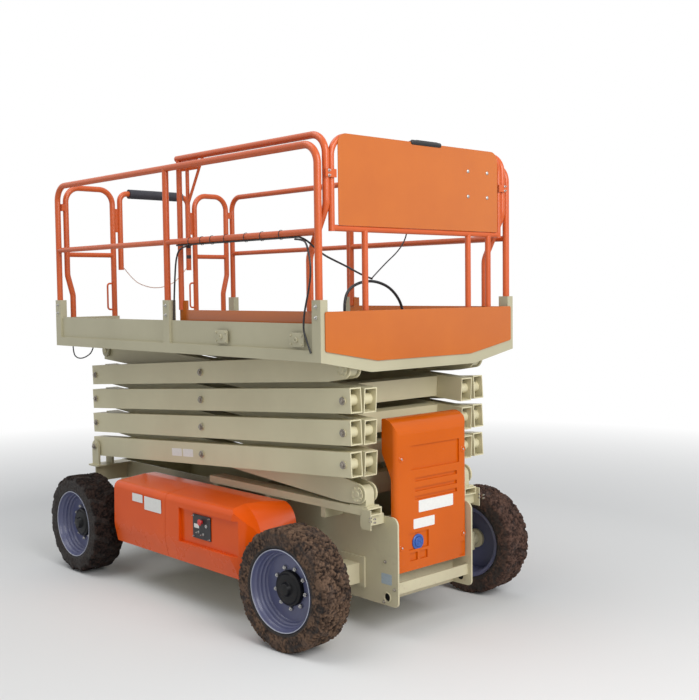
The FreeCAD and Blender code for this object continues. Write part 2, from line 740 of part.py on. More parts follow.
# Slide tracks of the chassis: channels under the inner arms, carried by
# outriggers on the side plates.
track = box(
    "track_bar",
    S.track_start,
    S.track_end,
    -S.inner_arm_face - 4,
    4 - INNER_IN,
    TRACK_TOP - S.track_height,
    TRACK_TOP,
)
track_hollow = box(
    "track_hollow",
    S.track_start - 1,
    S.track_end + 1,
    S.track_wall - S.inner_arm_face - 4,
    4 - INNER_IN - S.track_wall,
    TRACK_TOP - S.track_height + S.track_wall,
    TRACK_TOP - S.track_wall,
)
node("slide_tracks", pair("slide_tracks", cut("slide_track", track, track_hollow)))

# Chassis: two side plates with the floor pan and cross plates between them,
# shelves for the rear arm pins and outriggers for the slide tracks.
PLATE_IN = S.plate_face - S.plate_thickness
chassis_rear = REAR_PIN_X - S.chassis_tail
side_corners = (
    (HALF_LENGTH, S.plate_bottom, 30),
    (HALF_LENGTH, S.plate_top, 45),
    (chassis_rear, S.plate_top, 20),
    (chassis_rear, S.belly_bottom, 60),
    (S.belly_step_rear, S.belly_bottom, 0),
    (S.belly_step_front, S.plate_bottom, 0),
)
side_plate = plate(
    "side_plate",
    "XZ_Plane",
    side_corners,
    -PLATE_IN,
    S.plate_thickness,
    (
        (HALF_LENGTH - S.hook_inset, S.plate_bottom + S.hook_rise, S.hook_radius),
        (chassis_rear + S.lashing_inset, S.plate_top - S.lashing_drop, S.lashing_radius),
        (S.front_axle_place - S.steer_arm * 0.94, AXLE_HEIGHT + S.tie_rod_rise, S.rod_window),
    ),
)
pieces = [side_plate, mirrored("side_plate_far", side_plate)]
for tag, x_low, x_high, z_low, z_high in (
    ("front_low", HALF_LENGTH - 40, HALF_LENGTH - 28, S.plate_bottom + 69, S.plate_bottom + 134),
    ("front_wall", S.front_wall, S.front_wall + 12, S.plate_bottom, S.plate_top - 20),
    ("rear_wall", chassis_rear, chassis_rear + 12, S.belly_bottom, S.plate_top),
    ("middle_wall", -6, 6, S.belly_bottom, S.plate_top - 20),
):
    pieces.append(box("chassis_" + tag, x_low, x_high, -PLATE_IN, PLATE_IN, z_low, z_high))
pieces.append(
    box("chassis_pan", chassis_rear, S.front_wall, -PLATE_IN, PLATE_IN, S.belly_bottom, S.belly_bottom + 6)
)
track_face = S.inner_arm_face + 4
for index, x_place in enumerate(
    (S.track_start + 60, S.track_start + 620, S.track_start + 1150, S.track_end - 40)
):
    tag = "outrigger_%d" % index
    at_end = index == 3
    reach = track_face + S.seat_gap + S.stop_plate if at_end else S.inner_arm_face
    arm = box(
        tag,
        x_place - S.outrigger_half,
        x_place + S.outrigger_half,
        -reach,
        -S.plate_face,
        TRACK_TOP - S.track_height - S.outrigger_depth,
        TRACK_TOP - S.track_height - S.seat_gap,
    )
    pieces.extend([arm, mirrored(tag + "_far", arm)])
stop_bracket = box(
    "track_bracket",
    S.track_end - 50,
    S.track_end + 25,
    -track_face - S.seat_gap - S.stop_plate,
    -track_face - S.seat_gap,
    TRACK_TOP - S.track_height - S.outrigger_depth - 14,
    TRACK_TOP - 6,
)
pieces.extend([stop_bracket, mirrored("track_bracket_far", stop_bracket)])
shelf = box(
    "rear_shelf",
    REAR_PIN_X - S.shelf_reach,
    REAR_PIN_X + S.shelf_reach,
    -LUG_OUT - 22,
    -PLATE_IN,
    S.plate_top - 12,
    S.plate_top,
)
pieces.extend([shelf, mirrored("rear_shelf_far", shelf)])
for tag, face in (("outer", LUG_IN), ("inner", OUTER_IN - S.running_gap - S.lug_plate)):
    bracket = lug("pivot_bracket_" + tag, REAR_PIN_X, S.bottom_pin_height, S.plate_top, face)
    pieces.extend([bracket, mirrored("pivot_bracket_%s_far" % tag, bracket)])
pivot_pin = rod(
    "pivot_pin",
    "y",
    -LUG_OUT - S.pin_end,
    S.running_gap + S.lug_plate + S.pin_end - OUTER_IN,
    (REAR_PIN_X, S.bottom_pin_height),
    S.pin_radius,
)
pieces.extend([pivot_pin, mirrored("pivot_pin_far", pivot_pin)])
gusset = box(
    "shelf_gusset",
    REAR_PIN_X - 6,
    REAR_PIN_X + 6,
    -LUG_OUT,
    -S.plate_face,
    S.plate_top - 130,
    S.plate_top - 12,
)
pieces.extend([gusset, mirrored("shelf_gusset_far", gusset)])
cover_room = S.cover_wall + S.seat_gap
for tag, x_low, x_high in (
    ("rear", S.cover_rear + cover_room, S.cover_seam - S.cover_split - cover_room),
    ("front", S.cover_seam + cover_room, S.cover_front - 200),
):
    tray = box(
        "battery_tray_" + tag,
        x_low,
        x_high,
        S.tray_inset - S.cover_face,
        -PLATE_IN,
        S.cover_bottom + S.battery_rise - S.tray_sheet,
        S.cover_bottom + S.battery_rise - S.seat_gap,
    )
    pieces.extend([tray, mirrored("battery_tray_%s_far" % tag, tray)])
cover_bracket = box(
    "end_cover_bracket",
    S.front_wall,
    S.end_cover_face - S.end_cover_skirt - S.seat_gap,
    -262,
    -250,
    S.end_cover_bottom + 15,
    S.end_cover_bottom + 275,
)
pieces.extend([cover_bracket, mirrored("end_cover_bracket_far", cover_bracket)])
node("chassis_frame", fused("chassis_frame", pieces))

# Entry ladder behind the chassis, under the gate.
ladder_face = chassis_rear - S.seat_gap
ladder_parts = []
for side, sign in SIDES:
    outer = S.ladder_middle + S.ladder_half * sign
    inner = outer - S.ladder_rail * sign
    low, high = (outer, inner) if sign < 0 else (inner, outer)
    ladder_back = ladder_face - S.ladder_depth
    upright = box("ladder_rail_" + side, ladder_back, ladder_face, low, high, S.ladder_foot, S.ladder_top)
    ladder_parts.append(upright)
for index in range(5):
    tread = S.ladder_foot + 50 + S.rung_pitch * index
    ladder_parts.append(
        box(
            "ladder_tread_%d" % index,
            ladder_face - S.ladder_depth,
            ladder_face,
            S.ladder_middle - S.ladder_half,
            S.ladder_middle + S.ladder_half,
            tread,
            tread + S.tread_height,
        )
    )
node("ladder", fused("ladder", ladder_parts))

# Axles: beams bolted to the outside of the side plates, and knuckles that
# turn about kingpins at the steered end.
for label, x_place, reach in (
    ("rear_axle", S.rear_axle_place, S.hub_inner - S.seat_gap),
    ("front_axle", S.front_axle_place, S.kingpin_track - S.fork_depth),
):
    beam = box(
        label + "_beam",
        x_place - S.axle_half,
        x_place + S.axle_half,
        -reach,
        -S.plate_face - S.seat_gap,
        AXLE_HEIGHT - S.axle_half,
        AXLE_HEIGHT + S.axle_half,
    )
    flange = box(
        label + "_flange",
        x_place - S.axle_half - 40,
        x_place + S.axle_half + 40,
        -S.plate_face - 14,
        -S.plate_face - S.seat_gap,
        AXLE_HEIGHT - S.axle_half - 20,
        AXLE_HEIGHT + S.axle_half + 40,
    )
    members = [beam, flange]
    if label == "front_axle":
        for tag, z_low in (
            ("upper", AXLE_HEIGHT + S.axle_half - 14),
            ("lower", AXLE_HEIGHT - S.axle_half),
        ):
            fork = rod(
                "kingpin_fork_" + tag,
                "z",
                z_low,
                z_low + 14,
                (x_place, -S.kingpin_track),
                S.knuckle_radius,
            )
            web = box(
                "kingpin_web_" + tag,
                x_place - S.knuckle_radius,
                x_place + S.knuckle_radius,
                -S.kingpin_track,
                -reach + 2,
                z_low,
                z_low + 14,
            )
            members.extend([fork, web])
    node(label, pair(label, fused(label + "_near", members)))

# Knuckles, built about their kingpins and stood at the resting steer angle.
for side, sign in SIDES:
    label = "knuckle_" + side
    fork_room = S.axle_half - 14 - S.seat_gap
    post = rod(label + "_post", "z", -fork_room, fork_room, (0, 0), S.knuckle_radius)
    reach = S.hub_inner - S.kingpin_track - S.seat_gap
    flange_back = reach - 20
    if sign < 0:
        spindle = rod(label + "_spindle", "y", -reach, dim(0), (0, 0), S.spindle_radius)
        hub = rod(label + "_hub", "y", -reach, -flange_back, (0, 0), S.hub_radius)
    else:
        spindle = rod(label + "_spindle", "y", dim(0), reach, (0, 0), S.spindle_radius)
        hub = rod(label + "_hub", "y", flange_back, reach, (0, 0), S.hub_radius)
    arm = box(label + "_arm", -S.steer_arm, 0, -16, 16, -12, 12)
    eye = rod(label + "_eye", "z", -12, 12, (-S.steer_arm, 0), 24)
    hole = rod(label + "_eye_hole", "z", -13, 13, (-S.steer_arm, 0), S.steer_pin + S.pin_play)
    made = cut(label, fused(label + "_forging", [post, spindle, hub, arm, eye]), hole)
    made.Placement = Placement(Vector(), Rotation(Vector(0, 0, 1), S.steer_rest.value))
    made.setExpression("Placement.Base.x", S.front_axle_place.text)
    made.setExpression("Placement.Base.y", (S.kingpin_track * sign).text)
    made.setExpression("Placement.Base.z", AXLE_HEIGHT.text)
    node(label, made)

steer_turn = math.radians(S.steer_rest.value)
rod_x = S.front_axle_place - S.steer_arm * math.cos(steer_turn)
rod_shift = -S.steer_arm * math.sin(steer_turn)
rod_pieces = [
    rod(
        "tie_rod_bar",
        "y",
        rod_shift - S.kingpin_track,
        rod_shift + S.kingpin_track,
        (rod_x, AXLE_HEIGHT + S.tie_rod_rise),
        15,
    )
]
for side, sign in SIDES:
    rod_pieces.append(
        rod(
            "tie_rod_pin_" + side,
            "z",
            AXLE_HEIGHT - 12,
            AXLE_HEIGHT + S.tie_rod_rise,
            (rod_x, rod_shift + S.kingpin_track * sign),
            S.steer_pin,
        )
    )
    rod_pieces.append(
        rod(
            "tie_rod_end_" + side,
            "z",
            AXLE_HEIGHT + 12 + S.seat_gap,
            AXLE_HEIGHT + 50,
            (rod_x, rod_shift + S.kingpin_track * sign),
            22,
        )
    )
node("tie_rod", fused("tie_rod", rod_pieces))

# Wheels. A tyre's carcass has one flat under each of its slanted lugs, which
# stand in two staggered rows; the rim is turned in one piece with its disc
# and hub.
half_tyre = S.tyre_width / 2
carcass = S.tyre_radius - S.lug_height
lug_step = 360.0 / LUGS
flat_turn = math.pi / LUGS
crown_corners = [
    (
        carcass * (math.cos((index + 0.5) * flat_turn) / math.cos(flat_turn / 2)),
        carcass * (math.sin((index + 0.5) * flat_turn) / math.cos(flat_turn / 2)),
        0,
    )
    for index in range(2 * LUGS)
]
for label, x_place, sign, steered in (
    ("rear_near", S.rear_axle_place, -1, False),
    ("rear_far", S.rear_axle_place, 1, False),
    ("front_near", S.front_axle_place, -1, True),
    ("front_far", S.front_axle_place, 1, True),
):
    rim_corners = (
        (0, -half_tyre + S.hub_depth, 0),
        (S.hub_radius + 14, -half_tyre + S.hub_depth, 0),
        (S.hub_radius + 14, -half_tyre + S.disc_depth, 0),
        (S.barrel_inner, -half_tyre + S.disc_depth, 0),
        (S.barrel_inner, -half_tyre + S.lip_inset + 10, 0),
        (S.rim_radius, -half_tyre + S.lip_inset, 0),
        (S.rim_radius, half_tyre - S.lip_inset, 0),
        (S.barrel_inner, half_tyre - S.lip_inset, 0),
        (S.barrel_inner, -half_tyre + S.disc_depth + S.disc_sheet, 0),
        (0, -half_tyre + S.disc_depth + S.disc_sheet, 0),
    )
    face_turn = Rotation() if sign < 0 else Rotation(Vector(0, 0, 1), 180)
    turn = Rotation(Vector(0, 0, 1), S.steer_rest.value if steered else 0)
    offset = S.tyre_face - half_tyre
    if steered:
        pivot = Vector(float(x_place), sign * S.kingpin_track.value, AXLE_HEIGHT.value)
        outboard = Vector(0, sign * (offset - S.kingpin_track).value, 0)
        centre = pivot + turn.multVec(outboard)
    else:
        centre = Vector(float(x_place), sign * offset.value, AXLE_HEIGHT.value)
    place = Placement(centre, turn.multiply(face_turn))
    tyre_bore = (0, 0, S.rim_radius + S.seat_gap)
    members = [
        plate("tyre_carcass_" + label, "XZ_Plane", crown_corners, half_tyre, S.tyre_width, (tyre_bore,))
    ]
    for index in range(LUGS):
        for row, row_sign in (("a", -1), ("b", 1)):
            block = box(
                "lug_%s_%s_%d" % (label, row, index),
                carcass - 8,
                S.tyre_radius,
                row_sign * half_tyre / 2 - half_tyre / 2 + 4,
                row_sign * half_tyre / 2 + half_tyre / 2 - 4,
                -S.lug_half_width,
                S.lug_half_width,
            )
            spin = lug_step * (index + (0.5 if row_sign > 0 else 0.0))
            # Each lug is spun about the axle, after its slant about its own middle.
            slant = Rotation(Vector(1, 0, 0), row_sign * S.lug_slant.value)
            about = Rotation(Vector(0, 1, 0), spin)
            middle = Vector(0, row_sign * half_tyre.value / 2, 0)
            block_place = Placement(about.multVec(middle), about).multiply(
                Placement(Vector(), slant)
            ).multiply(Placement(-middle, Rotation()))
            holder = together("lug_turn_%s_%s_%d" % (label, row, index), [block])
            holder.Placement = block_place
            members.append(holder)
    tyre = fused("tyre_" + label, members)
    tyre.Placement = place
    node("tyre_" + label, tyre)
    rim = turned("rim_" + label, rim_corners, place)
    node("rim_" + label, rim)

# Lift cylinder on the centre plane: its barrel hangs on the first inner
# arms' front cross tube, its rod's eye on the second ones' rear cross tube.


def along_inner(level, reach):
    """A place on an inner arm's centre line, from its front pin."""
    turn = math.radians(S.stow_angle.value)
    x_place = FRONT_PIN_X.value - reach * math.cos(turn)
    z_place = float(pin_height(level)) + reach * math.sin(turn)
    return x_place, z_place


foot_x, foot_z = along_inner(1, S.cylinder_foot.value)
eye_x, eye_z = along_inner(2, S.arm_length.value - S.cylinder_eye.value)
cylinder_length = math.hypot(eye_x - foot_x, eye_z - foot_z)
cylinder_slope = math.degrees(math.atan2(eye_z - foot_z, foot_x - eye_x))
set_size("cylinder_length", cylinder_length, "stowed lift cylinder, pin to pin")
set_size("foot_x", foot_x, "cylinder foot pin along the machine")
set_size("foot_z", foot_z, "cylinder foot pin above the ground")
set_size("cylinder_slope", cylinder_slope, "slope of the stowed cylinder")
doc.recompute()


def lay_cylinder(made):
    """Lays a piece of the cylinder from its own frame to its stowed slope."""
    made.Placement = Placement(Vector(), Rotation(Vector(0, 1, 0), S.cylinder_slope.value))
    made.setExpression("Placement.Base.x", S.foot_x.text)
    made.setExpression("Placement.Base.z", S.foot_z.text)
    return made


half_lug = S.cylinder_lug
barrel_outer = rod("barrel_outer", "x", -S.barrel_length, -S.barrel_radius, (0, 0), S.barrel_radius)
barrel_foot = rod("barrel_foot", "y", -half_lug, half_lug, (0, 0), S.cylinder_eye_radius)
barrel_neck = box("barrel_neck", -S.barrel_radius - 10, 0, -half_lug, half_lug, -36, 36)
barrel_bore = rod(
    "barrel_bore", "x", -S.barrel_length - 1, -S.barrel_radius - 60, (0, 0), S.lift_rod_radius + S.pin_play
)
foot_hole = rod(
    "foot_hole", "y", -half_lug - 1, half_lug + 1, (0, 0), S.cylinder_pin_radius + S.pin_play
)
barrel = cut(
    "lift_barrel",
    fused("barrel_body", [barrel_outer, barrel_foot, barrel_neck]),
    fused("barrel_holes", [barrel_bore, foot_hole]),
)
node("lift_barrel", lay_cylinder(barrel))
neck_reach = S.cylinder_eye_radius + 12
rod_stem = rod(
    "rod_stem",
    "x",
    neck_reach - S.cylinder_length,
    -S.barrel_radius - 90,
    (0, 0),
    S.lift_rod_radius,
)
rod_eye = rod("rod_eye", "y", -half_lug, half_lug, (-S.cylinder_length, 0), S.cylinder_eye_radius)
rod_neck = box(
    "rod_neck",
    -S.cylinder_length,
    neck_reach + 4 - S.cylinder_length,
    -half_lug,
    half_lug,
    -36,
    36,
)
rod_hole = rod(
    "rod_hole",
    "y",
    -half_lug - 1,
    half_lug + 1,
    (-S.cylinder_length, 0),
    S.cylinder_pin_radius + S.pin_play,
)
node("lift_rod", lay_cylinder(cut("lift_rod", fused("rod_body", [rod_stem, rod_neck, rod_eye]), rod_hole)))

# Moulded side covers: a rounded shoulder seen from the end, and a front end
# that turns in to clear the steered wheel.


def cover_section(inset):
    """Corners of a side cover seen along the machine; an inset one opens inwards and down."""
    opening = dim(20 if float(inset) > 0 else 0)
    return (
        (opening - S.cover_inner, S.cover_bottom - opening, 0),
        (opening - S.cover_inner, S.cover_top - inset, 0),
        (-S.cover_inner - inset - 90, S.cover_top - inset, 30),
        (inset - S.cover_face + 6, S.cover_shoulder - inset, 46),
        (inset - S.cover_face, S.cover_bottom + 120, 200),
        (inset - S.cover_face + 26, S.cover_bottom - opening, 0),
    )


def cover_plan(inset):
    """Corners of the front side cover seen from above."""
    opening = dim(20 if float(inset) > 0 else 0)
    return (
        (S.cover_seam + inset, opening - S.cover_inner, 0),
        (S.cover_front - inset, opening - S.cover_inner, 0),
        (S.cover_front - inset, inset - S.cover_face + 330, 60),
        (S.cover_front - inset - 170, inset - S.cover_face, 140),
        (S.cover_seam + inset, inset - S.cover_face, 0),
    )


wall = S.cover_wall
rear_skin = plate(
    "rear_cover_skin",
    "YZ_Plane",
    cover_section(0),
    S.cover_rear,
    S.cover_seam - S.cover_split - S.cover_rear,
)
rear_room = plate(
    "rear_cover_room",
    "YZ_Plane",
    cover_section(wall),
    S.cover_rear + wall,
    S.cover_seam - S.cover_split - S.cover_rear - wall * 2,
)
node("rear_side_covers", pair("rear_side_covers", cut("rear_cover", rear_skin, rear_room)))


def nose_form(name, inset):
    """The front cover's side views lofted across it.

    Beside the wheel its top falls early in a wide bend; at its inner edge it
    falls late in a tight one.
    """
    body = doc.addObject("PartDesign::Body", name)
    views = []
    for tag, y_place, x_front, bend in (
        ("outer", -S.cover_face - S.cover_wall, S.nose_outer_front, S.nose_outer_bend),
        ("middle", -S.nose_middle, S.nose_outer_front, S.nose_outer_bend),
        ("inner", S.cover_wall * 5 - S.cover_inner, S.cover_front, S.nose_inner_bend),
    ):
        view = body.newObject("Sketcher::SketchObject", name + "_" + tag)
        view.AttachmentSupport = (origin_plane(body, "XZ_Plane"), [""])
        view.MapMode = "FlatFace"
        view.setExpression("AttachmentOffset.Base.z", (-y_place).text)
        top = S.cover_top + S.nose_rise - inset
        corners = (
            (S.cover_seam + inset, S.cover_bottom - S.cover_wall * 5, 0),
            (x_front - inset, S.cover_bottom - S.cover_wall * 5, 0),
            (x_front - inset, top, bend - inset),
            (S.cover_seam + inset, top, 0),
        )
        view.addGeometry(outline(corners), False)
        views.append(view)
    loft = body.newObject("PartDesign::AdditiveLoft", name + "_loft")
    loft.Profile = views[0]
    loft.Sections = views[1:]
    loft.Ruled = True
    return body


def front_cover_form(name, inset):
    """The front side cover's form, inset by a wall: end view, plan and lofted side views in common."""
    section = plate(
        name + "_section",
        "YZ_Plane",
        cover_section(inset),
        S.cover_seam + inset,
        S.cover_front - S.cover_seam - dim(inset) * 2,
    )
    plan = plate(name + "_plan", "XY_Plane", cover_plan(inset), S.cover_bottom - 30, 500)
    return shared(name, shared(name + "_block", section, plan), nose_form(name + "_nose", inset))


front_cover = cut(
    "front_cover", front_cover_form("front_cover_skin", dim(0)), front_cover_form("front_cover_room", wall)
)

# The near one has a sunk bay for the ground controls. It runs out into the
# nose beside the wheel.
bay_block = box(
    "bay_block",
    S.recess_rear - wall,
    S.cover_front,
    -S.cover_face - 10,
    S.recess_depth + wall - S.cover_face,
    S.recess_bottom - wall,
    S.recess_top + wall,
)
bay_liner = shared("bay_liner", front_cover_form("bay_form", dim(0)), bay_block)
bay_room = box(
    "bay_room",
    S.recess_rear,
    S.cover_front,
    -S.cover_face - 10,
    S.recess_depth - S.cover_face,
    S.recess_bottom,
    S.recess_top,
)
near_cover = cut("front_cover_near", fused("front_cover_lined", [front_cover, bay_liner]), bay_room)
node(
    "front_side_covers",
    together("front_side_covers", [near_cover, mirrored("front_cover_far", front_cover)]),
)
panel_back = S.recess_depth - S.cover_face - S.seat_gap
ground_panel = box(
    "ground_panel",
    S.panel_rear,
    S.panel_front,
    panel_back - S.panel_plate,
    panel_back,
    S.recess_bottom + 46,
    S.recess_top - 20,
)
node("ground_panel", ground_panel)

# Batteries behind the rear covers, on the chassis's trays.
battery = box(
    "battery_block",
    S.cover_rear + 40,
    S.cover_seam - 50,
    S.tray_inset - S.cover_face,
    -S.plate_face - S.seat_gap,
    S.cover_bottom + S.battery_rise,
    S.cover_bottom + S.battery_rise + S.battery_height,
)
node("battery_packs", pair("battery_packs", battery))

# End cover between the side plates: deep and rounded at its top, with sunk
# bays, louvres and a socket recess in its face.
cover_back = S.end_cover_face - S.end_cover_depth
end_side = (
    (S.end_cover_face, S.end_cover_bottom, 0),
    (S.end_cover_face, S.end_cover_top, 98),
    (cover_back, S.end_cover_top, 12),
    (cover_back, S.end_cover_top - 200, 40),
    (S.end_cover_face - S.end_cover_skirt, S.end_cover_top - 340, 40),
    (S.end_cover_face - S.end_cover_skirt, S.end_cover_bottom, 0),
)
end_form = doc.addObject("Part::Common", "end_cover_form")
end_form.Base = plate("end_cover_side", "XZ_Plane", end_side, S.end_cover_half, S.end_cover_half * 2)
end_form.Tool = plate(
    "end_cover_plan",
    "XY_Plane",
    (
        (cover_back - 1, -S.end_cover_half, 0),
        (S.end_cover_face, -S.end_cover_half, 30),
        (S.end_cover_face, S.end_cover_half, 30),
        (cover_back - 1, S.end_cover_half, 0),
    ),
    S.end_cover_bottom,
    S.end_cover_top - S.end_cover_bottom,
)
END_BAYS = (
    # name, y_low, y_high, z_low, z_high
    ("grip_bay", -180, 237, 970, 1113),
    ("louvre_high", -150, 216, 900, 922),
    ("louvre_middle", -150, 216, 842, 864),
    ("louvre_low", -150, 216, 793, 815),
    ("socket_bay", -204, -37, 505, 603),
    ("rib_gap_left", -196, -132, 440, 488),
    ("rib_gap_right", -112, -48, 440, 488),
    ("corner_notch", 238, 320, 393, 480),
)
bays = [
    box(name, S.end_cover_face - S.end_recess, S.end_cover_face + 1, y_low, y_high, z_low, z_high)
    for name, y_low, y_high, z_low, z_high in END_BAYS
]
node("end_cover", cut("end_cover", end_form, together("end_cover_bays", bays)))

# Platform: a frame with deep side channels, a floor and the tracks and lugs
# that the highest arms hold it by.
channel_in = S.deck_half - S.channel_width
floor_bottom = S.floor_top - S.floor_sheet
side_channel = box(
    "side_channel",
    DECK_REAR,
    S.deck_front,
    -S.deck_half,
    -channel_in,
    S.deck_bottom,
    S.deck_bottom + S.flange_height,
)
side_web = box(
    "side_web",
    DECK_REAR,
    S.deck_front,
    -S.deck_half + S.web_inset,
    -S.deck_half + S.web_inset + 6,
    S.deck_bottom + S.flange_height,
    S.toe_top,
)
pieces = [side_channel, mirrored("side_channel_far", side_channel)]
pieces.extend([side_web, mirrored("side_web_far", side_web)])
for index, x_place in enumerate((DECK_REAR, S.middle_socket, S.deck_front - S.socket_width)):
    socket = box(
        "rail_socket_%d" % index,
        x_place,
        x_place + S.socket_width,
        -S.deck_half,
        -S.rail_line + S.rail_tube / 2 + 8,
        S.deck_bottom + S.flange_height,
        S.socket_top,
    )
    pieces.extend([socket, mirrored("rail_socket_%d_far" % index, socket)])
for index in range(7):
    x_place = DECK_REAR + 60 + (S.deck_front - DECK_REAR - 160) * (index / 6.0)
    pieces.append(
        box(
            "joist_%d" % index,
            x_place,
            x_place + 40,
            -channel_in,
            channel_in,
            S.deck_bottom + S.joist_rise,
            floor_bottom - S.seat_gap,
        )
    )
for tag, x_low, x_high, z_low, z_high in (
    ("gate_end", DECK_REAR, DECK_REAR + 8, S.deck_bottom, floor_bottom - S.seat_gap),
    ("apron", S.deck_front - 10, S.deck_front, S.deck_bottom, floor_bottom - S.seat_gap),
):
    pieces.append(box("deck_" + tag, x_low, x_high, -channel_in, channel_in, z_low, z_high))
for tag, y_low, y_high in (("near", -S.deck_half, S.gate_near), ("far", S.gate_far, S.deck_half)):
    pieces.append(
        box("gate_toe_" + tag, DECK_REAR, DECK_REAR + 50, y_low, y_high, floor_bottom - S.seat_gap, S.toe_top)
    )
apron_half = S.apron_flat
apron = plate(
    "front_apron",
    "YZ_Plane",
    (
        (-S.deck_half, S.deck_bottom, 0),
        (-apron_half, S.deck_bottom - S.apron_drop, 0),
        (apron_half, S.deck_bottom - S.apron_drop, 0),
        (S.deck_half, S.deck_bottom, 0),
        (S.deck_half, S.deck_bottom + 46, 0),
        (apron_half, S.deck_bottom + 10, 0),
        (-apron_half, S.deck_bottom + 10, 0),
        (-S.deck_half, S.deck_bottom + 46, 0),
    ),
    S.deck_front - 24,
    24,
)
pieces.append(apron)
upper_track = box(
    "upper_track",
    S.track_start,
    S.deck_front - 30,
    -S.outer_arm_face - 4,
    4 - OUTER_IN,
    TOP_PIN + S.shoe_reach,
    S.deck_bottom + S.joist_rise,
)
pieces.extend([upper_track, mirrored("upper_track_far", upper_track)])
lug_head = lug("platform_lug_plate", REAR_PIN_X, TOP_PIN, S.deck_bottom + S.joist_rise, INNER_LUG_IN)
lug_bore = rod(
    "platform_lug_bore", "y", -INNER_LUG_OUT - 1, 1 - INNER_LUG_IN, (REAR_PIN_X, TOP_PIN), RUNNING_BORE
)
platform_lug = cut("platform_lug", lug_head, lug_bore)
pieces.extend([platform_lug, mirrored("platform_lug_far", platform_lug)])
lug_beam = box(
    "lug_beam",
    REAR_PIN_X - S.lug_radius,
    REAR_PIN_X + S.lug_radius,
    -channel_in,
    channel_in,
    S.deck_bottom + S.joist_rise,
    floor_bottom - S.seat_gap,
)
pieces.append(lug_beam)
node("platform_frame", fused("platform_frame", pieces))

floor_half = S.deck_half - S.web_inset - 6 - S.seat_gap
main_floor = box(
    "main_floor",
    DECK_REAR + 50 + S.seat_gap,
    S.deck_front - S.seat_gap,
    -floor_half + S.socket_clear,
    floor_half - S.socket_clear,
    floor_bottom,
    S.floor_top,
)
node("main_floor", main_floor)

# Main rails: bent tube loops in sockets, two along each side and two at the
# gate end, with a header frame over the gate.
tube_half = S.rail_tube / 2
rail_axis = S.rail_top - tube_half
middle_axis = S.rail_middle - S.middle_tube / 2
rear_post = DECK_REAR + tube_half + 8
mid_post = S.middle_socket + tube_half + 6
front_post = S.deck_front - 36
side_line = -S.rail_line
rails = [
    rail(
        "side_loop_near",
        (
            (rear_post, side_line, S.socket_top + S.seat_gap),
            (rear_post, side_line, rail_axis),
            (front_post, side_line, rail_axis),
            (front_post, side_line, S.socket_top + S.seat_gap),
        ),
        S.rail_tube,
    ),
    rod("side_middle_near", "x", rear_post, front_post, (side_line, middle_axis), S.middle_tube / 2),
    rod("side_post_near", "z", S.socket_top + S.seat_gap, rail_axis, (mid_post, side_line), tube_half),
]
side_rails = fused("side_rails_near", rails)
node("side_rails", pair("side_rails", side_rails))

# Gate loops: their outer legs step inwards above the toe boards, and a block
# clamps each to the side rails. A grab bar stands off each inner leg.
outer_leg = S.rail_line - 44 - tube_half
gate_middle = middle_axis - 30
gate_rails = []
for side, sign, inner_leg, grab_line in (
    ("near", -1, S.gate_near - 8 - tube_half, S.gate_near - 8 - tube_half - S.grab_reach),
    ("far", 1, S.gate_far + 8 + tube_half, S.gate_far + 8 + tube_half - S.grab_reach),
):
    foot_line = (outer_leg - S.gate_joggle) * sign
    leg_line = outer_leg * sign
    clamp_face = (S.rail_line - tube_half - S.seat_gap) * sign
    bar_low, bar_high = (leg_line, inner_leg) if sign < 0 else (inner_leg, leg_line)
    clamp_low, clamp_high = (clamp_face, leg_line) if sign < 0 else (leg_line, clamp_face)
    loop = rail(
        "gate_tube_" + side,
        (
            (rear_post, foot_line, S.toe_top + S.seat_gap),
            (rear_post, foot_line, S.gate_step_low),
            (rear_post, leg_line, S.gate_step_high),
            (rear_post, leg_line, rail_axis),
            (rear_post, inner_leg, rail_axis),
            (rear_post, inner_leg, S.toe_top + S.seat_gap),
        ),
        S.rail_tube,
    )
    bar = rod("gate_middle_" + side, "y", bar_low, bar_high, (rear_post, gate_middle), S.middle_tube / 2)
    clamp = box(
        "gate_clamp_" + side,
        rear_post - 20,
        rear_post + 20,
        clamp_low,
        clamp_high,
        rail_axis - 176,
        rail_axis - 126,
    )
    grab = tube(
        "gate_grab_" + side,
        (
            (rear_post, inner_leg, S.toe_top + 50),
            (rear_post, grab_line, S.toe_top + 50),
            (rear_post, grab_line, S.toe_top + 250),
            (rear_post, inner_leg, S.toe_top + 250),
        ),
        S.grab_tube,
        [S.grab_tube * 1.5, S.grab_tube * 1.5],
    )
    gate_rails.append(fused("gate_loop_" + side, [loop, bar, clamp, grab]))
node("gate_rails", together("gate_rails", gate_rails))

# Header frame over the gate, bolted to the gate loops by side plates, with a
# foam pad round its top tube.
header_near = S.gate_near + tube_half + 15
header_far = S.gate_far - tube_half - 15
pieces = [
    tube(
        "header_tube",
        (
            (rear_post, header_near, S.header_foot),
            (rear_post, header_near, S.header_axis),
            (rear_post, header_far, S.header_axis),
            (rear_post, header_far, S.header_foot),
        ),
        S.rail_tube,
        (S.header_bend, S.header_bend),
    )
]
for tag, y_low, y_high in (
    ("near", S.gate_near - 8 + S.seat_gap, header_near),
    ("far", header_far, S.gate_far + 8 - S.seat_gap),
):
    pieces.append(
        box(
            "header_plate_" + tag,
            rear_post - 4,
            rear_post + 4,
            y_low,
            y_high,
            S.header_axis - 300,
            S.header_axis - 120,
        )
    )
node("gate_header", fused("gate_header", pieces))

pad_inset = S.header_bend + 18
pad_low = header_near + pad_inset
pad_high = header_far - S.header_bend - 1
pad_skin = rod("pad_skin", "y", pad_low, pad_high, (rear_post, S.header_axis), S.header_pad_radius)
pad_bore = rod("pad_bore", "y", pad_low - 1, pad_high + 1, (rear_post, S.header_axis), tube_half + S.seat_gap)
node("header_pad", cut("header_pad", pad_skin, pad_bore))

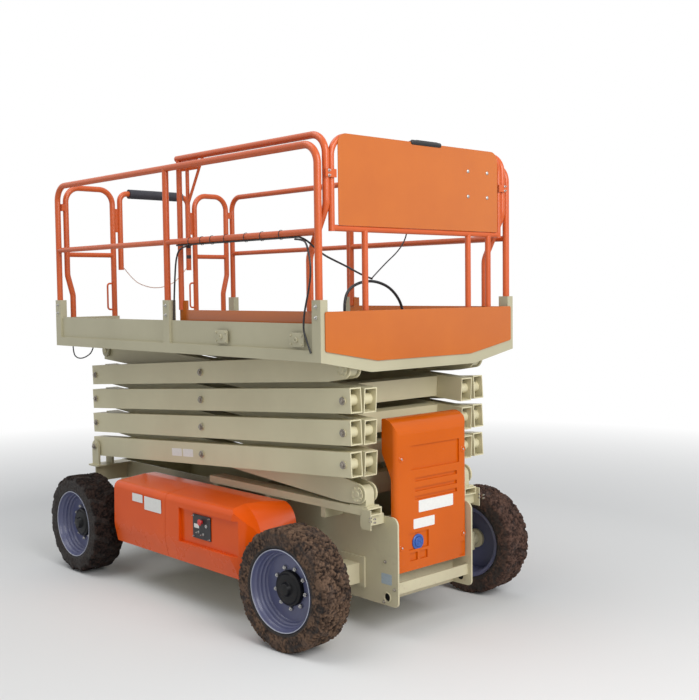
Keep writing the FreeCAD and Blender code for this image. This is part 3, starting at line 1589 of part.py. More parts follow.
# Roll-out deck: its own floor, toe boards, front panel and rails.
extension_floor = box(
    "extension_floor",
    S.extension_rear,
    S.deck_front + S.panel_gap,
    -S.extension_line - 14,
    S.extension_line + 14,
    S.floor_top + S.seat_gap,
    S.floor_top + S.extension_sheet,
)
node("extension_floor", extension_floor)

front_panel = plate(
    "front_panel_sheet",
    "YZ_Plane",
    (
        (-S.panel_half, S.panel_top, 12),
        (-S.panel_half, S.deck_bottom + 58, 12),
        (-S.panel_flat, S.deck_bottom - 10, 12),
        (S.panel_flat, S.deck_bottom - 10, 12),
        (S.panel_half, S.deck_bottom + 58, 12),
        (S.panel_half, S.panel_top, 12),
    ),
    S.deck_front + S.panel_gap,
    S.panel_sheet,
)
toe_board = box(
    "extension_toe",
    S.extension_rear,
    S.deck_front + S.panel_gap,
    -S.extension_line - 2,
    2 - S.extension_line,
    S.floor_top + S.extension_sheet,
    S.panel_top,
)
ext_rear = S.extension_rear + S.middle_tube / 2
toe_upstand = box(
    "extension_upstand",
    ext_rear + 20,
    ext_rear + 75,
    -S.extension_line - 2,
    2 - S.extension_line,
    S.panel_top,
    S.panel_top + 60,
)
toe = fused("extension_toe_near", [toe_board, toe_upstand])
node("front_panel", fused("front_panel", [front_panel, toe, mirrored("extension_toe_far", toe)]))

# Rails of the roll-out deck: each front leg steps back below the middle rail.
line = -S.extension_line
ext_axis = S.extension_top - S.extension_tube / 2
ext_front = S.deck_front - 28
leg_back = ext_front - S.leg_joggle
bar_end = leg_back + S.leg_joggle * ((middle_axis - S.joggle_low) / (S.joggle_high - S.joggle_low))
ext_side = [
    rail(
        "extension_loop",
        (
            (leg_back, line, S.panel_top + S.seat_gap),
            (leg_back, line, S.joggle_low),
            (ext_front, line, S.joggle_high),
            (ext_front, line, ext_axis),
            (ext_rear - S.middle_tube / 2 - 4, line, ext_axis),
        ),
        S.extension_tube,
    ),
    rod("extension_post", "z", S.panel_top + S.seat_gap, ext_axis, (ext_rear, line), S.middle_tube / 2),
    rod("extension_middle", "x", ext_rear, bar_end, (line, middle_axis), S.middle_tube / 2),
]
# The near side carries the latch lever that holds the deck in or out.
latch_low = ext_axis - 82
latch = [
    rod("latch_bar", "z", S.lever_foot + 10, latch_low + 20, (S.lever_place, line), S.lever_radius),
    rod("latch_grip", "z", S.lever_foot, S.lever_foot + 93, (S.lever_place, line), S.lever_radius + 3),
    box(
        "latch_bracket",
        S.lever_place - 58,
        S.lever_place + 111,
        line - 6,
        line + 6,
        latch_low,
        ext_axis,
    ),
    tube(
        "latch_brace",
        ((S.lever_place, line, latch_low - 215), (S.lever_place + 178, line, ext_axis)),
        S.lever_radius * 1.5,
        [],
    ),
]
side_plain = fused("extension_side", ext_side)
node(
    "extension_rails",
    together(
        "extension_rails",
        [fused("extension_side_near", [side_plain] + latch), mirrored("extension_side_far", side_plain)],
    ),
)

# Guard frame: an inverted loop between the two side loops, clamped to their
# front legs, with three short legs under it and a sheet on its face.
frame_half = S.middle_tube / 2
frame_line = S.extension_line - S.extension_tube / 2 - frame_half - S.seat_gap
frame_axis = S.extension_top - S.guard_frame_drop - frame_half
frame_parts = [
    rail(
        "guard_loop",
        (
            (ext_front, -frame_line, S.guard_frame_foot - frame_half),
            (ext_front, -frame_line, frame_axis),
            (ext_front, frame_line, frame_axis),
            (ext_front, frame_line, S.guard_frame_foot - frame_half),
        ),
        S.middle_tube,
    ),
    rod("guard_bar", "y", -frame_line, frame_line, (ext_front, S.guard_frame_foot), frame_half),
]
for index, y_place in enumerate((-460, 416, 607)):
    frame_parts.append(
        rod(
            "guard_leg_%d" % index,
            "z",
            S.panel_top + S.seat_gap,
            S.guard_frame_foot,
            (ext_front, y_place),
            frame_half,
        )
    )
clamp_back = ext_front + S.extension_tube / 2 + S.seat_gap
frame_clamp = fused(
    "guard_clamp",
    [
        box(
            "guard_clamp_plate",
            clamp_back,
            clamp_back + 6,
            -S.extension_line - 23,
            -frame_line + frame_half,
            rail_axis - 181,
            rail_axis - 136,
        ),
        box(
            "guard_clamp_web",
            ext_front,
            clamp_back + 2,
            -frame_line - 7,
            -frame_line + 5,
            rail_axis - 181,
            rail_axis - 136,
        ),
    ],
)
frame_parts.extend([frame_clamp, mirrored("guard_clamp_far", frame_clamp)])
node("guard_frame", fused("guard_frame", frame_parts))

guard = plate(
    "guard_sheet",
    "YZ_Plane",
    (
        (-S.guard_half, S.guard_bottom, 10),
        (S.guard_half, S.guard_bottom, 10),
        (S.guard_half, S.guard_top, 60),
        (-S.guard_half, S.guard_top, 60),
    ),
    ext_front + frame_half + S.seat_gap,
    S.guard_sheet_gauge,
)
node("guard_sheet", guard)

# Manual box behind the guard sheet and the control box hooked on the guard
# frame's top tube.
manual_box = box(
    "manual_box",
    ext_front - 60,
    ext_front + frame_half,
    S.guard_half - 294,
    S.guard_half - 64,
    rail_axis - 321,
    rail_axis - 41,
)
node("manual_box", manual_box)
box_front = ext_front - frame_half - S.seat_gap
hook_foot = frame_axis + frame_half + S.seat_gap
control_parts = [
    box("control_body", box_front - 150, box_front, -97, 162, ext_axis - 217, ext_axis - 7),
    box("control_hook_back", box_front - 20, box_front, -60, 120, ext_axis - 12, hook_foot + 11.7),
    box("control_hook", box_front - 20, ext_front + 24, -60, 120, hook_foot, hook_foot + 11.7),
]
node("control_box", fused("control_box", control_parts))

# Cords. Each is limp and keeps its sag; clips hold the rail cable to the
# middle rail all along. A slanted end stands off what it meets by its tilt.
cable_line = middle_axis - S.middle_tube / 2 - S.cable_width / 2 - S.seat_gap
CORDS = (
    # name, diameter, points
    (
        "rear_drop",
        S.cable_width,
        (
            (165, side_line, cable_line - 11.3),
            (95, side_line + 1, cable_line - 18),
            (48, side_line + 4, cable_line - 83),
            (28, side_line + 6, 2110),
            (14, side_line + 7, 1985),
            (6, side_line + 7, 1850),
            (8, side_line + 7, S.deck_bottom + S.flange_height + S.seat_gap),
        ),
    ),
    (
        "front_drop",
        S.cable_width,
        (
            (1230, side_line, cable_line - 11.3),
            (1310, side_line - 8, cable_line - 16),
            (1376, side_line - 38, 2259),
            (1407, side_line - 42, 2167),
            (1405, side_line - 42, 2087),
            (1387, side_line - 40, 2018),
            (1352, side_line - 38, 1918),
            (1336, side_line - 36, 1853),
            (1332, side_line - 34, 1790),
            (1358, side_line - 29.5, 1732),
            (1384, side_line - 28.5, 1676),
        ),
    ),
    (
        "control_lead",
        S.cable_width,
        (
            (1263.7, side_line, cable_line),
            (1318, side_line + 2, cable_line - 14),
            (1366, side_line + 32, 2240),
            (1370, -702, 2204),
            (1360, -630, 2181),
            (1340, -519, 2149),
            (1310, -423, 2122),
            (1280, -324, 2096),
            (1250, -230, 2079.2),
        ),
    ),
    (
        "control_loop",
        S.loop_width,
        (
            (1250, -440, S.floor_top + S.extension_sheet + S.seat_gap * 3),
            (1250, -446, 1830),
            (1250, -455, 1940),
            (1250, -423, 2020),
            (1250, -328, 2060),
            (1250, -222, 2068),
            (1250, -115, 2042),
            (1250, -40, 1994),
            (1250, 16, 1925),
            (1250, 32, 1830),
            (1250, 34, S.floor_top + S.extension_sheet + S.seat_gap * 2),
        ),
    ),
    (
        "control_riser",
        S.riser_width,
        (
            (1265.5, -247, 2082),
            (1271, -147, 2165),
            (1279, -45, 2237),
            (1290, 12, 2310),
            (1296, 30, 2400),
            (1298, 34, 2510),
            (1298, 32.5, ext_axis - 217 - S.seat_gap),
        ),
    ),
    (
        "under_hose",
        S.hose_width,
        (
            (-1340, side_line + 7, S.deck_bottom - S.seat_gap * 2),
            (-1336, side_line + 7, 1568),
            (-1283, side_line + 7, 1540),
            (-1205, side_line + 7, 1540),
            (-1125, side_line + 7, 1562),
            (-1065, side_line + 7, 1590),
            (-1043.5, side_line + 7, S.deck_bottom - 2.8),
        ),
    ),
    (
        "gate_chain",
        S.chain_width,
        (
            (rear_post, header_near + tube_half + 3.8, S.header_foot + 15),
            (rear_post, -170, 2108),
            (rear_post, -70, 2062),
            (rear_post, 36, 2045),
            (rear_post, 142, 2062),
            (rear_post, 243, 2109),
            (rear_post, header_far - tube_half - 3.8, S.header_foot + 15),
        ),
    ),
)
rail_cable = rod("rail_cable", "x", 66, 1262, (side_line, cable_line), S.cable_width / 2)
node("rail_cable", rail_cable)
for name, width, points in CORDS:
    cord(name, points, width)

doc.recompute()
broken = [item.Name for item in doc.Objects if set(item.State) & {"Invalid", "Error"}]
if broken:
    raise RuntimeError("objects that did not build: %s" % ", ".join(broken))
for made in nodes:
    if made.Shape.isNull() or not made.Shape.isValid():
        raise RuntimeError("bad shape: " + made.Label)
for made, width, length, bends in cords:
    share = made.Shape.Volume / (math.pi * width * width / 4 * length)
    print(
        "cord %-14s length %6.0f  volume over section times length %.3f  radii %s"
        % (made.Label, length, share, " ".join("%.0f" % bend for bend in bends))
    )
for made in nodes:
    made.Shape.exportStep("parts/%s.step" % made.Label)
print("nodes written: %d" % len(nodes))
for made in nodes:
    bounds = made.Shape.BoundBox
    print(
        "%-20s %8.1f %8.1f %8.1f %8.1f %8.1f %8.1f  solids %d"
        % (
            made.Label,
            bounds.XMin,
            bounds.XMax,
            bounds.YMin,
            bounds.YMax,
            bounds.ZMin,
            bounds.ZMax,
            len(made.Shape.Solids),
        )
    )
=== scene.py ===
# %% [markdown]
# # A rough-terrain scissor lift, dressed for its portrait
# The lift arrives as exact CAD solids: a chassis, four levels of crossed
# arms, a railed platform and a deck that rolls out of its front. This lesson
# keeps those solids where they are and gives them what a camera sees: paint
# with wear, tyres caked in mud, pressed wheels, bolts, cables and a chain.
# All lengths here are metres, and every piece is placed where the CAD says.

# %% Load the frame
import bpy
import math
import json
import numpy as np
from mathutils import Matrix, Vector


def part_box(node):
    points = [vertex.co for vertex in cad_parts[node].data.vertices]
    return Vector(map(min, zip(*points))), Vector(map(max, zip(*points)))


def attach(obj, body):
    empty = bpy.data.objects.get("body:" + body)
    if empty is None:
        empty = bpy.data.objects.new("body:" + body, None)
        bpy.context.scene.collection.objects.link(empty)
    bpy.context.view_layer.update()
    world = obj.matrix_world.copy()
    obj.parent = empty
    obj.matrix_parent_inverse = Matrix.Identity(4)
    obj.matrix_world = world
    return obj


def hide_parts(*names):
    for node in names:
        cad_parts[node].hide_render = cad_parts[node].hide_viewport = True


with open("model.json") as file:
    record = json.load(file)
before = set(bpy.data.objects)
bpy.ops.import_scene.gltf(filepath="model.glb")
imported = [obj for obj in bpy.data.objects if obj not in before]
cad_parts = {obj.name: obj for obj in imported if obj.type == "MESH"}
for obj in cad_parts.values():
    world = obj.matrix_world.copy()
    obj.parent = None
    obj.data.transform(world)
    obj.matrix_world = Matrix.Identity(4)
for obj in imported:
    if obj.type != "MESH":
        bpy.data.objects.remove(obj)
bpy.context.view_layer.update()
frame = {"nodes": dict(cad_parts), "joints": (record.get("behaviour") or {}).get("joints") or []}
nodes = frame["nodes"]

# %% [markdown]
# ## The photographer's place
# The photograph was taken from the steered end's near corner, at about head
# height, with a normal lens. The camera's place and turn were solved from the
# machine's own straight edges, so the render's frame matches the photograph.
# The rotation is built from three unit vectors: right, up and backwards.

# %% Camera
CAMERA_PLACE = (5.5935, -4.4408, 2.0184)
CAMERA_YAW, CAMERA_PITCH, CAMERA_ROLL = math.radians(47.186), math.radians(3.370), math.radians(-0.659)
LENS_MM, SENSOR_MM = 52.94, 36.0


def camera_axes(yaw, pitch, roll):
    """Right, up and forward unit vectors of a camera that looks along -X +Y, then tips down and rolls."""
    forward = np.array([-math.sin(yaw) * math.cos(pitch), math.cos(yaw) * math.cos(pitch), -math.sin(pitch)])
    level = np.array([math.cos(yaw), math.sin(yaw), 0.0])
    upward = np.cross(level, forward)
    right = math.cos(roll) * level + math.sin(roll) * upward
    up = -math.sin(roll) * level + math.cos(roll) * upward
    return right, up, forward


right, up, forward = camera_axes(CAMERA_YAW, CAMERA_PITCH, CAMERA_ROLL)
turn = Matrix([[right[i], up[i], -forward[i]] for i in range(3)]).to_4x4()
camera_data = bpy.data.cameras.new("camera")
camera_data.lens = LENS_MM
camera_data.sensor_width = SENSOR_MM
camera_data.sensor_fit = "AUTO"
camera = bpy.data.objects.new("camera", camera_data)
camera.matrix_world = Matrix.Translation(CAMERA_PLACE) @ turn
bpy.context.scene.collection.objects.link(camera)
bpy.context.scene.camera = camera
print("camera at", CAMERA_PLACE, "with a", LENS_MM, "mm lens")

# %% [markdown]
# ## Shapes as arrays
# Most new pieces are one of three forms: a grid of points, a profile turned
# about an axis, or one small shape repeated at many places. Each is computed
# as whole numpy arrays, and only the finished arrays go into a mesh.


# %% Grids, turned forms and copies
def grid_faces(rows, columns, close_rows=False, close_columns=False):
    """Corner indices of every quad on a grid; a closed side joins its last line to its first."""
    r, c = np.meshgrid(
        np.arange(rows if close_rows else rows - 1),
        np.arange(columns if close_columns else columns - 1),
        indexing="ij",
    )
    r2, c2 = (r + 1) % rows, (c + 1) % columns
    quads = np.stack([r * columns + c, r * columns + c2, r2 * columns + c2, r2 * columns + c], axis=-1)
    return quads.reshape(-1, 4).tolist()


def turned_form(profile, sides):
    """A closed solid of revolution about +Z: ring i has radius profile[i][0] and height profile[i][1].

    Point (i, j) is (r_i cos a_j, r_i sin a_j, z_i) with a_j = 2 pi j / sides; both ends get a flat cap.
    """
    radius, height = np.array(profile, float).T
    angle = np.linspace(0, 2 * np.pi, sides, endpoint=False)
    points = np.empty((len(radius), sides, 3))
    points[..., 0] = radius[:, None] * np.cos(angle)
    points[..., 1] = radius[:, None] * np.sin(angle)
    points[..., 2] = height[:, None]
    faces = grid_faces(len(radius), sides, close_columns=True)
    last = (len(radius) - 1) * sides
    faces.append(list(range(sides))[::-1])
    faces.append(list(range(last, last + sides)))
    return points.reshape(-1, 3), faces


def placed_copies(form, places, axes):
    """Copies of a form: each point p goes to place + p_x u + p_y v + p_z w, where w is that copy's unit axis."""
    points, faces = form
    places = np.atleast_2d(np.array(places, float))
    w = np.atleast_2d(np.array(axes, float))
    w = np.broadcast_to(w / np.linalg.norm(w, axis=1, keepdims=True), places.shape)
    helper = np.where(np.abs(w[:, 2:3]) > 0.9, [[1.0, 0.0, 0.0]], [[0.0, 0.0, 1.0]])
    u = np.cross(helper, w)
    u = u / np.linalg.norm(u, axis=1, keepdims=True)
    v = np.cross(w, u)
    basis = np.stack([u, v, w], axis=1)
    moved = places[:, None, :] + points @ basis
    starts = [copy * len(points) for copy in range(len(places))]
    return moved.reshape(-1, 3), [[index + start for index in face] for start in starts for face in faces]


def joined_forms(forms):
    """Several forms as one: their points stacked, and each one's faces moved on by the points before it."""
    starts = np.cumsum([0] + [len(points) for points, _ in forms]).tolist()
    faces = [[index + start for index in face] for start, (_, group) in zip(starts, forms) for face in group]
    return np.concatenate([points for points, _ in forms]), faces


def make_piece(name, form, body, material, smooth_below=None):
    """Puts a form into a mesh that rides on a body; edges under smooth_below degrees are shaded smooth."""
    points, faces = form
    mesh = bpy.data.meshes.new(name)
    mesh.from_pydata(np.asarray(points).tolist(), [], faces)
    mesh.validate()
    piece = bpy.data.objects.new(name, mesh)
    bpy.context.scene.collection.objects.link(piece)
    if smooth_below is not None:
        mesh.shade_smooth()
        mesh.set_sharp_from_angle(angle=math.radians(smooth_below))
    mesh.materials.append(material)
    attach(piece, body)
    return piece


def fitted(name, form, places, axis, body, material, smooth_below=None):
    """Copies of a form at places, all along one axis, as one piece."""
    return make_piece(name, placed_copies(form, places, [axis]), body, material, smooth_below)


print("helpers ready")

# %% [markdown]
# ## Paint, rubber and steel as node groups
# Every finish starts from one principled shader. Object coordinates are the
# machine's own metres, so dust can settle by height, mud can thin out towards
# the platform and scratches keep their real size on every part.


# %% Material helper
def add_node(tree, kind, inputs=(), **settings):
    """A new node with its settings; each named input takes a number, a colour or another node's output."""
    node = tree.nodes.new(kind)
    for name, value in settings.items():
        setattr(node, name, value)
    for name, value in inputs:
        if isinstance(value, tuple):
            node.inputs[name].default_value = (*value, 1.0)
        elif isinstance(value, (int, float)):
            node.inputs[name].default_value = value
        else:
            tree.links.new(value, node.inputs[name])
    return node


class Finish:
    """A material being wired: short names for the few node kinds that the finishes share."""

    def __init__(self, name, base, roughness, metallic=0.0, coat=0.0, coat_roughness=0.1, specular=0.5):
        self.material = bpy.data.materials.new(name)
        self.material.use_nodes = True
        self.tree = self.material.node_tree
        self.tree.nodes.clear()
        self.output = self.node("ShaderNodeOutputMaterial")
        self.shader = self.node("ShaderNodeBsdfPrincipled", (
            ("Base Color", base), ("Roughness", roughness), ("Metallic", metallic), ("Coat Weight", coat),
            ("Coat Roughness", coat_roughness), ("Specular IOR Level", specular)))
        self.link(self.shader.outputs["BSDF"], self.output.inputs["Surface"])
        self.place = self.node("ShaderNodeTexCoord").outputs["Object"]

    def link(self, source, target):
        """Joins two sockets."""
        self.tree.links.new(source, target)

    def node(self, kind, inputs=(), **settings):
        """A new node in this material."""
        return add_node(self.tree, kind, inputs, **settings)

    def noise(self, scale, detail=4.0, roughness=0.55):
        """Noise over the machine's metres."""
        return self.node("ShaderNodeTexNoise", (
            ("Scale", scale), ("Detail", detail), ("Roughness", roughness), ("Vector", self.place))).outputs["Fac"]

    def ramp(self, source, low, high, low_value=0.0, high_value=1.0):
        """Carries a value from low..high to low_value..high_value, clamped."""
        return self.node("ShaderNodeMapRange", (
            ("From Min", low), ("From Max", high), ("To Min", low_value), ("To Max", high_value),
            ("Value", source))).outputs["Result"]

    def math(self, operation, first, second):
        """One arithmetic step between two values or numbers."""
        return self.node("ShaderNodeMath", ((0, first), (1, second)), operation=operation).outputs["Value"]

    def mix(self, amount, first, second):
        """Blends two colours by an amount."""
        inputs = (("Factor", amount), ("A", first), ("B", second))
        return self.node("ShaderNodeMix", inputs, data_type="RGBA").outputs["Result"]

    def height(self):
        """Height above the ground in metres."""
        return self.node("ShaderNodeSeparateXYZ", (("Vector", self.place),)).outputs["Z"]

    def attribute(self, name):
        """A value that the mesh itself carries at each of its points."""
        return self.node("ShaderNodeAttribute", attribute_name=name).outputs["Fac"]

    def bump(self, source, strength, distance):
        """Small relief that only bends the light."""
        node = self.node("ShaderNodeBump", (("Strength", strength), ("Distance", distance), ("Height", source)))
        self.link(node.outputs["Normal"], self.shader.inputs["Normal"])

    def colour(self, source):
        """Wires the base colour."""
        self.link(source, self.shader.inputs["Base Color"])

    def rough(self, source):
        """Wires the roughness."""
        self.link(source, self.shader.inputs["Roughness"])


DUSTY_ROUGHNESS, CHIP_COLOUR = 0.85, (0.20, 0.17, 0.14)


def painted(name, colour, shade, roughness, coat, dust=(0.42, 0.33, 0.24), dirt_top=0.75, dirt_amount=0.55,
            specular=0.5):
    """Machine paint: cloudy tone, orange-peel bump, dust that thins with height and small chips."""
    finish = Finish(name, colour, roughness, coat=coat, coat_roughness=0.12, specular=specular)
    cloud = finish.ramp(finish.noise(1.7, 5.0), 0.35, 0.7)
    tone = finish.mix(cloud, colour, shade)
    low = finish.ramp(finish.height(), 0.15, dirt_top, 1.0, 0.0)
    spatter = finish.ramp(finish.noise(26.0, 6.0, 0.7), 0.52, 0.66)
    film = finish.ramp(finish.noise(5.0, 4.0), 0.3, 0.8)
    spread = finish.math("MAXIMUM", spatter, film)
    amount = finish.math("MULTIPLY", finish.math("MULTIPLY", low, dirt_amount), spread)
    dusty = finish.mix(amount, tone, dust)
    chips = finish.ramp(finish.noise(95.0, 3.0), 0.74, 0.78, 0.0, 0.35)
    finish.colour(finish.mix(chips, dusty, CHIP_COLOUR))
    finish.rough(finish.ramp(amount, 0.0, 0.6, roughness, DUSTY_ROUGHNESS))
    finish.bump(finish.noise(420.0, 2.0), 0.06, 0.0004)
    return finish.material


# %% [markdown]
# ## The paints
# Structure is a warm cream. The platform's channels wear a darker copy of it
# as painted shade, and the arms, slide tracks and nose caps a paler copy as
# painted light. Rails and covers are a strong orange; the end cover wears a
# darker copy of the moulding as painted shade. The wheels are a cool blue grey
# whose lip is paler as a painted highlight. The moulded covers shine less than
# paint, as pigmented plastic does.

# %% Paints and plain finishes
CREAM = painted("cream_paint", (0.60, 0.555, 0.37), (0.52, 0.475, 0.31), 0.45, 0.08)
ORANGE = painted("orange_paint", (0.62, 0.105, 0.016), (0.54, 0.085, 0.013), 0.34, 0.12, dirt_amount=0.0)
ORANGE_PLATE = painted("orange_plate", (0.56, 0.135, 0.008), (0.50, 0.112, 0.007), 0.24, 0.25, dirt_amount=0.0)
MOULDING = painted("orange_moulding", (0.78, 0.098, 0.003), (0.70, 0.080, 0.002), 0.26, 0.10, dirt_top=0.50,
                   dirt_amount=0.12, specular=0.22)
RIM_BLUE = painted("rim_paint", (0.105, 0.116, 0.225), (0.072, 0.080, 0.165), 0.30, 0.25,
                   dust=(0.11, 0.095, 0.09), dirt_top=0.9, dirt_amount=0.30)
# Painted shade: a darker copy of the moulding for the end cover, which faces the main lamp, and for its fastener
# dishes.
MOULDING_PAINTED_SHADE = painted("end_moulding", (0.60, 0.108, 0.003), (0.54, 0.092, 0.002), 0.24, 0.08, dirt_top=0.50,
                       dirt_amount=0.12, specular=0.20)
# Painted highlight: a paler blue grey for the rolled rim lip, where it catches the light.
RIM_PAINTED_HIGHLIGHT = painted("rim_edge", (0.42, 0.44, 0.52), (0.30, 0.32, 0.40), 0.28, 0.3, dust=(0.15, 0.13, 0.12),
                   dirt_top=0.9, dirt_amount=0.4)
# Painted shade: a darker copy of the cream for the platform frame's channels and their bolted plates.
CREAM_PAINTED_SHADE = painted("channel_cream", (0.48, 0.445, 0.30), (0.42, 0.385, 0.255), 0.45, 0.08)
# Painted light: a paler copy of the cream for the arms, slide tracks and nose caps, against the shade that falls
# between the arms.
CREAM_PAINTED_LIGHT = painted("arm_cream", (0.66, 0.605, 0.40), (0.58, 0.525, 0.34), 0.45, 0.08)


def plain(name, colour, roughness, metallic=0.0, grain=180.0, lift=0.0003, spread=0.25, coat=0.0,
          specular=0.5):
    """A simple finish: a base tone broken up by fine noise, with the same noise as bump."""
    finish = Finish(name, colour, roughness, metallic, coat, specular=specular)
    speckle = finish.ramp(finish.noise(grain, 3.0), 0.3, 0.7)
    dark = tuple(value * (1.0 - spread) for value in colour)
    finish.colour(finish.mix(speckle, dark, colour))
    worn = finish.noise(grain / 9.0, 4.0)
    finish.rough(finish.ramp(worn, 0.3, 0.7, max(roughness - 0.08, 0.05), roughness + 0.1))
    finish.bump(speckle, 0.15, lift)
    return finish.material


DARK = plain("dark_steel", (0.025, 0.024, 0.026), 0.45)
HUB_BLACK = plain("hub_black", (0.008, 0.008, 0.009), 0.35, specular=0.25)
STEEL = plain("worn_steel", (0.42, 0.38, 0.33), 0.38, metallic=0.9, spread=0.45)
ZINC = plain("zinc_steel", (0.60, 0.59, 0.57), 0.30, metallic=0.95, spread=0.3)
CHROME = plain("rod_chrome", (0.82, 0.82, 0.84), 0.08, metallic=1.0, spread=0.03)
BLACK_PLASTIC = plain("black_moulding", (0.018, 0.018, 0.020), 0.42, grain=320.0)
CABLE_SKIN = plain("black_cable", (0.012, 0.012, 0.014), 0.38, grain=260.0, spread=0.15)
FOAM = plain("pad_foam", (0.030, 0.030, 0.040), 0.62, grain=140.0, lift=0.0012)
LABEL_WHITE = plain("label_white", (0.80, 0.79, 0.75), 0.40, grain=60.0, spread=0.06)
SIGNAL_RED = plain("signal_red", (0.62, 0.02, 0.02), 0.30, spread=0.1, coat=0.4)
PLUG_BLUE = plain("plug_blue", (0.03, 0.10, 0.38), 0.35, spread=0.1)
CHAIN_STEEL = plain("chain_steel", (0.62, 0.30, 0.17), 0.36, metallic=0.55, spread=0.35)
BATTERY = plain("battery_case", (0.045, 0.045, 0.05), 0.55, grain=40.0)
print("plain finishes ready")


# %% Tread plate of the floors
def tread_plate():
    """Steel floor plate: short raised bars in staggered rows, scuffed bright on top."""
    finish = Finish("tread_plate", (0.36, 0.34, 0.30), 0.45, metallic=0.6)
    bars = finish.node("ShaderNodeTexBrick", (("Scale", 28.0), ("Mortar Size", 0.035), ("Vector", finish.place)),
                       offset=0.5)
    scuff = finish.ramp(finish.noise(9.0, 5.0), 0.4, 0.65)
    finish.colour(finish.mix(scuff, (0.30, 0.27, 0.23), (0.46, 0.44, 0.40)))
    finish.rough(finish.ramp(scuff, 0.0, 1.0, 0.62, 0.34))
    finish.bump(bars.outputs["Fac"], 0.4, 0.0015)
    return finish.material


FLOOR_STEEL = tread_plate()
print("floor finish ready")

# %% [markdown]
# ## Which node wears what
# The CAD nodes keep their shapes. A table gives each its finish by the start
# of its name, so a new level of arms would be painted without more work.

# %% Assign finishes to the CAD nodes
# The paler cream on arms and tracks is painted light; the darker cream on the platform frame and the darker
# moulding on the end cover are painted shade.
NODE_FINISH = (
    ("outer_arms", CREAM_PAINTED_LIGHT), ("inner_arms", CREAM_PAINTED_LIGHT), ("lower_slides", CREAM), ("upper_slides", CREAM),
    ("slide_tracks", CREAM_PAINTED_LIGHT), ("chassis_frame", CREAM), ("rear_axle", CREAM), ("front_axle", CREAM),
    ("ladder", CREAM), ("platform_frame", CREAM_PAINTED_SHADE), ("lift_barrel", CREAM), ("lift_rod", CHROME),
    ("knuckle", CREAM), ("tie_rod", DARK), ("tyre", BLACK_PLASTIC), ("rim", RIM_BLUE),
    ("rear_side_covers", MOULDING), ("front_side_covers", MOULDING), ("ground_panel", BLACK_PLASTIC),
    ("battery_packs", BATTERY), ("end_cover", MOULDING_PAINTED_SHADE), ("main_floor", FLOOR_STEEL),
    ("extension_floor", FLOOR_STEEL), ("side_rails", ORANGE), ("gate_rails", ORANGE), ("gate_header", ORANGE),
    ("extension_rails", ORANGE), ("guard_frame", ORANGE), ("guard_sheet", ORANGE_PLATE),
    ("front_panel", ORANGE_PLATE), ("header_pad", FOAM), ("manual_box", BLACK_PLASTIC),
    ("control_box", BLACK_PLASTIC), ("rail_cable", CABLE_SKIN), ("rear_drop", CABLE_SKIN),
    ("front_drop", CABLE_SKIN), ("control_", CABLE_SKIN), ("under_hose", CABLE_SKIN),
    ("gate_chain", CHAIN_STEEL),
)
for name, node in nodes.items():
    finishes = [finish for start, finish in NODE_FINISH if name.startswith(start)]
    if not finishes:
        print("no finish for", name)
        continue
    node.data.materials.clear()
    node.data.materials.append(finishes[0])
print("finished nodes:", len(nodes))

# %% [markdown]
# ## Floor and light
# A pale floor keeps the machine's shadow near it and melts into a white
# background further off, so no horizon line cuts the picture. The light is a
# pale sky with two broad soft lamps, as on an overcast day.

# %% Floor, sky and lamp
FLOOR_RADIUS, FLOOR_SIDES, FLOOR_DROP = 30, 96, 0.002
FADE_START, FADE_END = 3.6, 9.0


def studio_floor():
    """A round floor whose pale paint turns to plain white by distance, for camera rays only."""
    angle = np.linspace(0, 2 * np.pi, FLOOR_SIDES, endpoint=False)
    ring = np.stack([FLOOR_RADIUS * np.cos(angle), FLOOR_RADIUS * np.sin(angle),
                     np.full(FLOOR_SIDES, -FLOOR_DROP)], axis=1)
    mesh = bpy.data.meshes.new("studio_floor")
    mesh.from_pydata(ring.tolist(), [], [list(range(FLOOR_SIDES))])
    floor = bpy.data.objects.new("studio_floor", mesh)
    bpy.context.scene.collection.objects.link(floor)
    finish = Finish("studio_floor", (0.74, 0.74, 0.73), 0.9, specular=0.2)
    length = finish.node("ShaderNodeVectorMath", ((0, finish.place),), operation="LENGTH")
    far = finish.ramp(length.outputs["Value"], FADE_START, FADE_END)
    camera_ray = finish.node("ShaderNodeLightPath").outputs["Is Camera Ray"]
    amount = finish.math("MULTIPLY", far, camera_ray)
    glow = finish.node("ShaderNodeEmission", (("Color", (1, 1, 1)),)).outputs["Emission"]
    blend = finish.node("ShaderNodeMixShader", ((0, amount), (1, finish.shader.outputs["BSDF"]), (2, glow)))
    finish.link(blend.outputs["Shader"], finish.output.inputs["Surface"])
    mesh.materials.append(finish.material)
    return floor


def studio_sky():
    """Pale light from all round; camera and mirror rays see it as white."""
    world = bpy.data.worlds.new("studio_sky")
    world.use_nodes = True
    tree = world.node_tree
    sky = tree.nodes["Background"]
    sky.inputs["Color"].default_value = (0.93, 0.96, 1.0, 1)
    sky.inputs["Strength"].default_value = 0.50
    white = add_node(tree, "ShaderNodeBackground", (("Color", (1, 1, 1)), ("Strength", 1.0)))
    path = add_node(tree, "ShaderNodeLightPath").outputs
    rays = ((0, path["Is Camera Ray"]), (1, path["Is Glossy Ray"]))
    seen = add_node(tree, "ShaderNodeMath", rays, operation="MAXIMUM")
    blend = add_node(tree, "ShaderNodeMixShader", (
        (0, seen.outputs["Value"]), (1, sky.outputs["Background"]), (2, white.outputs["Background"])))
    tree.links.new(blend.outputs["Shader"], tree.nodes["World Output"].inputs["Surface"])
    bpy.context.scene.world = world


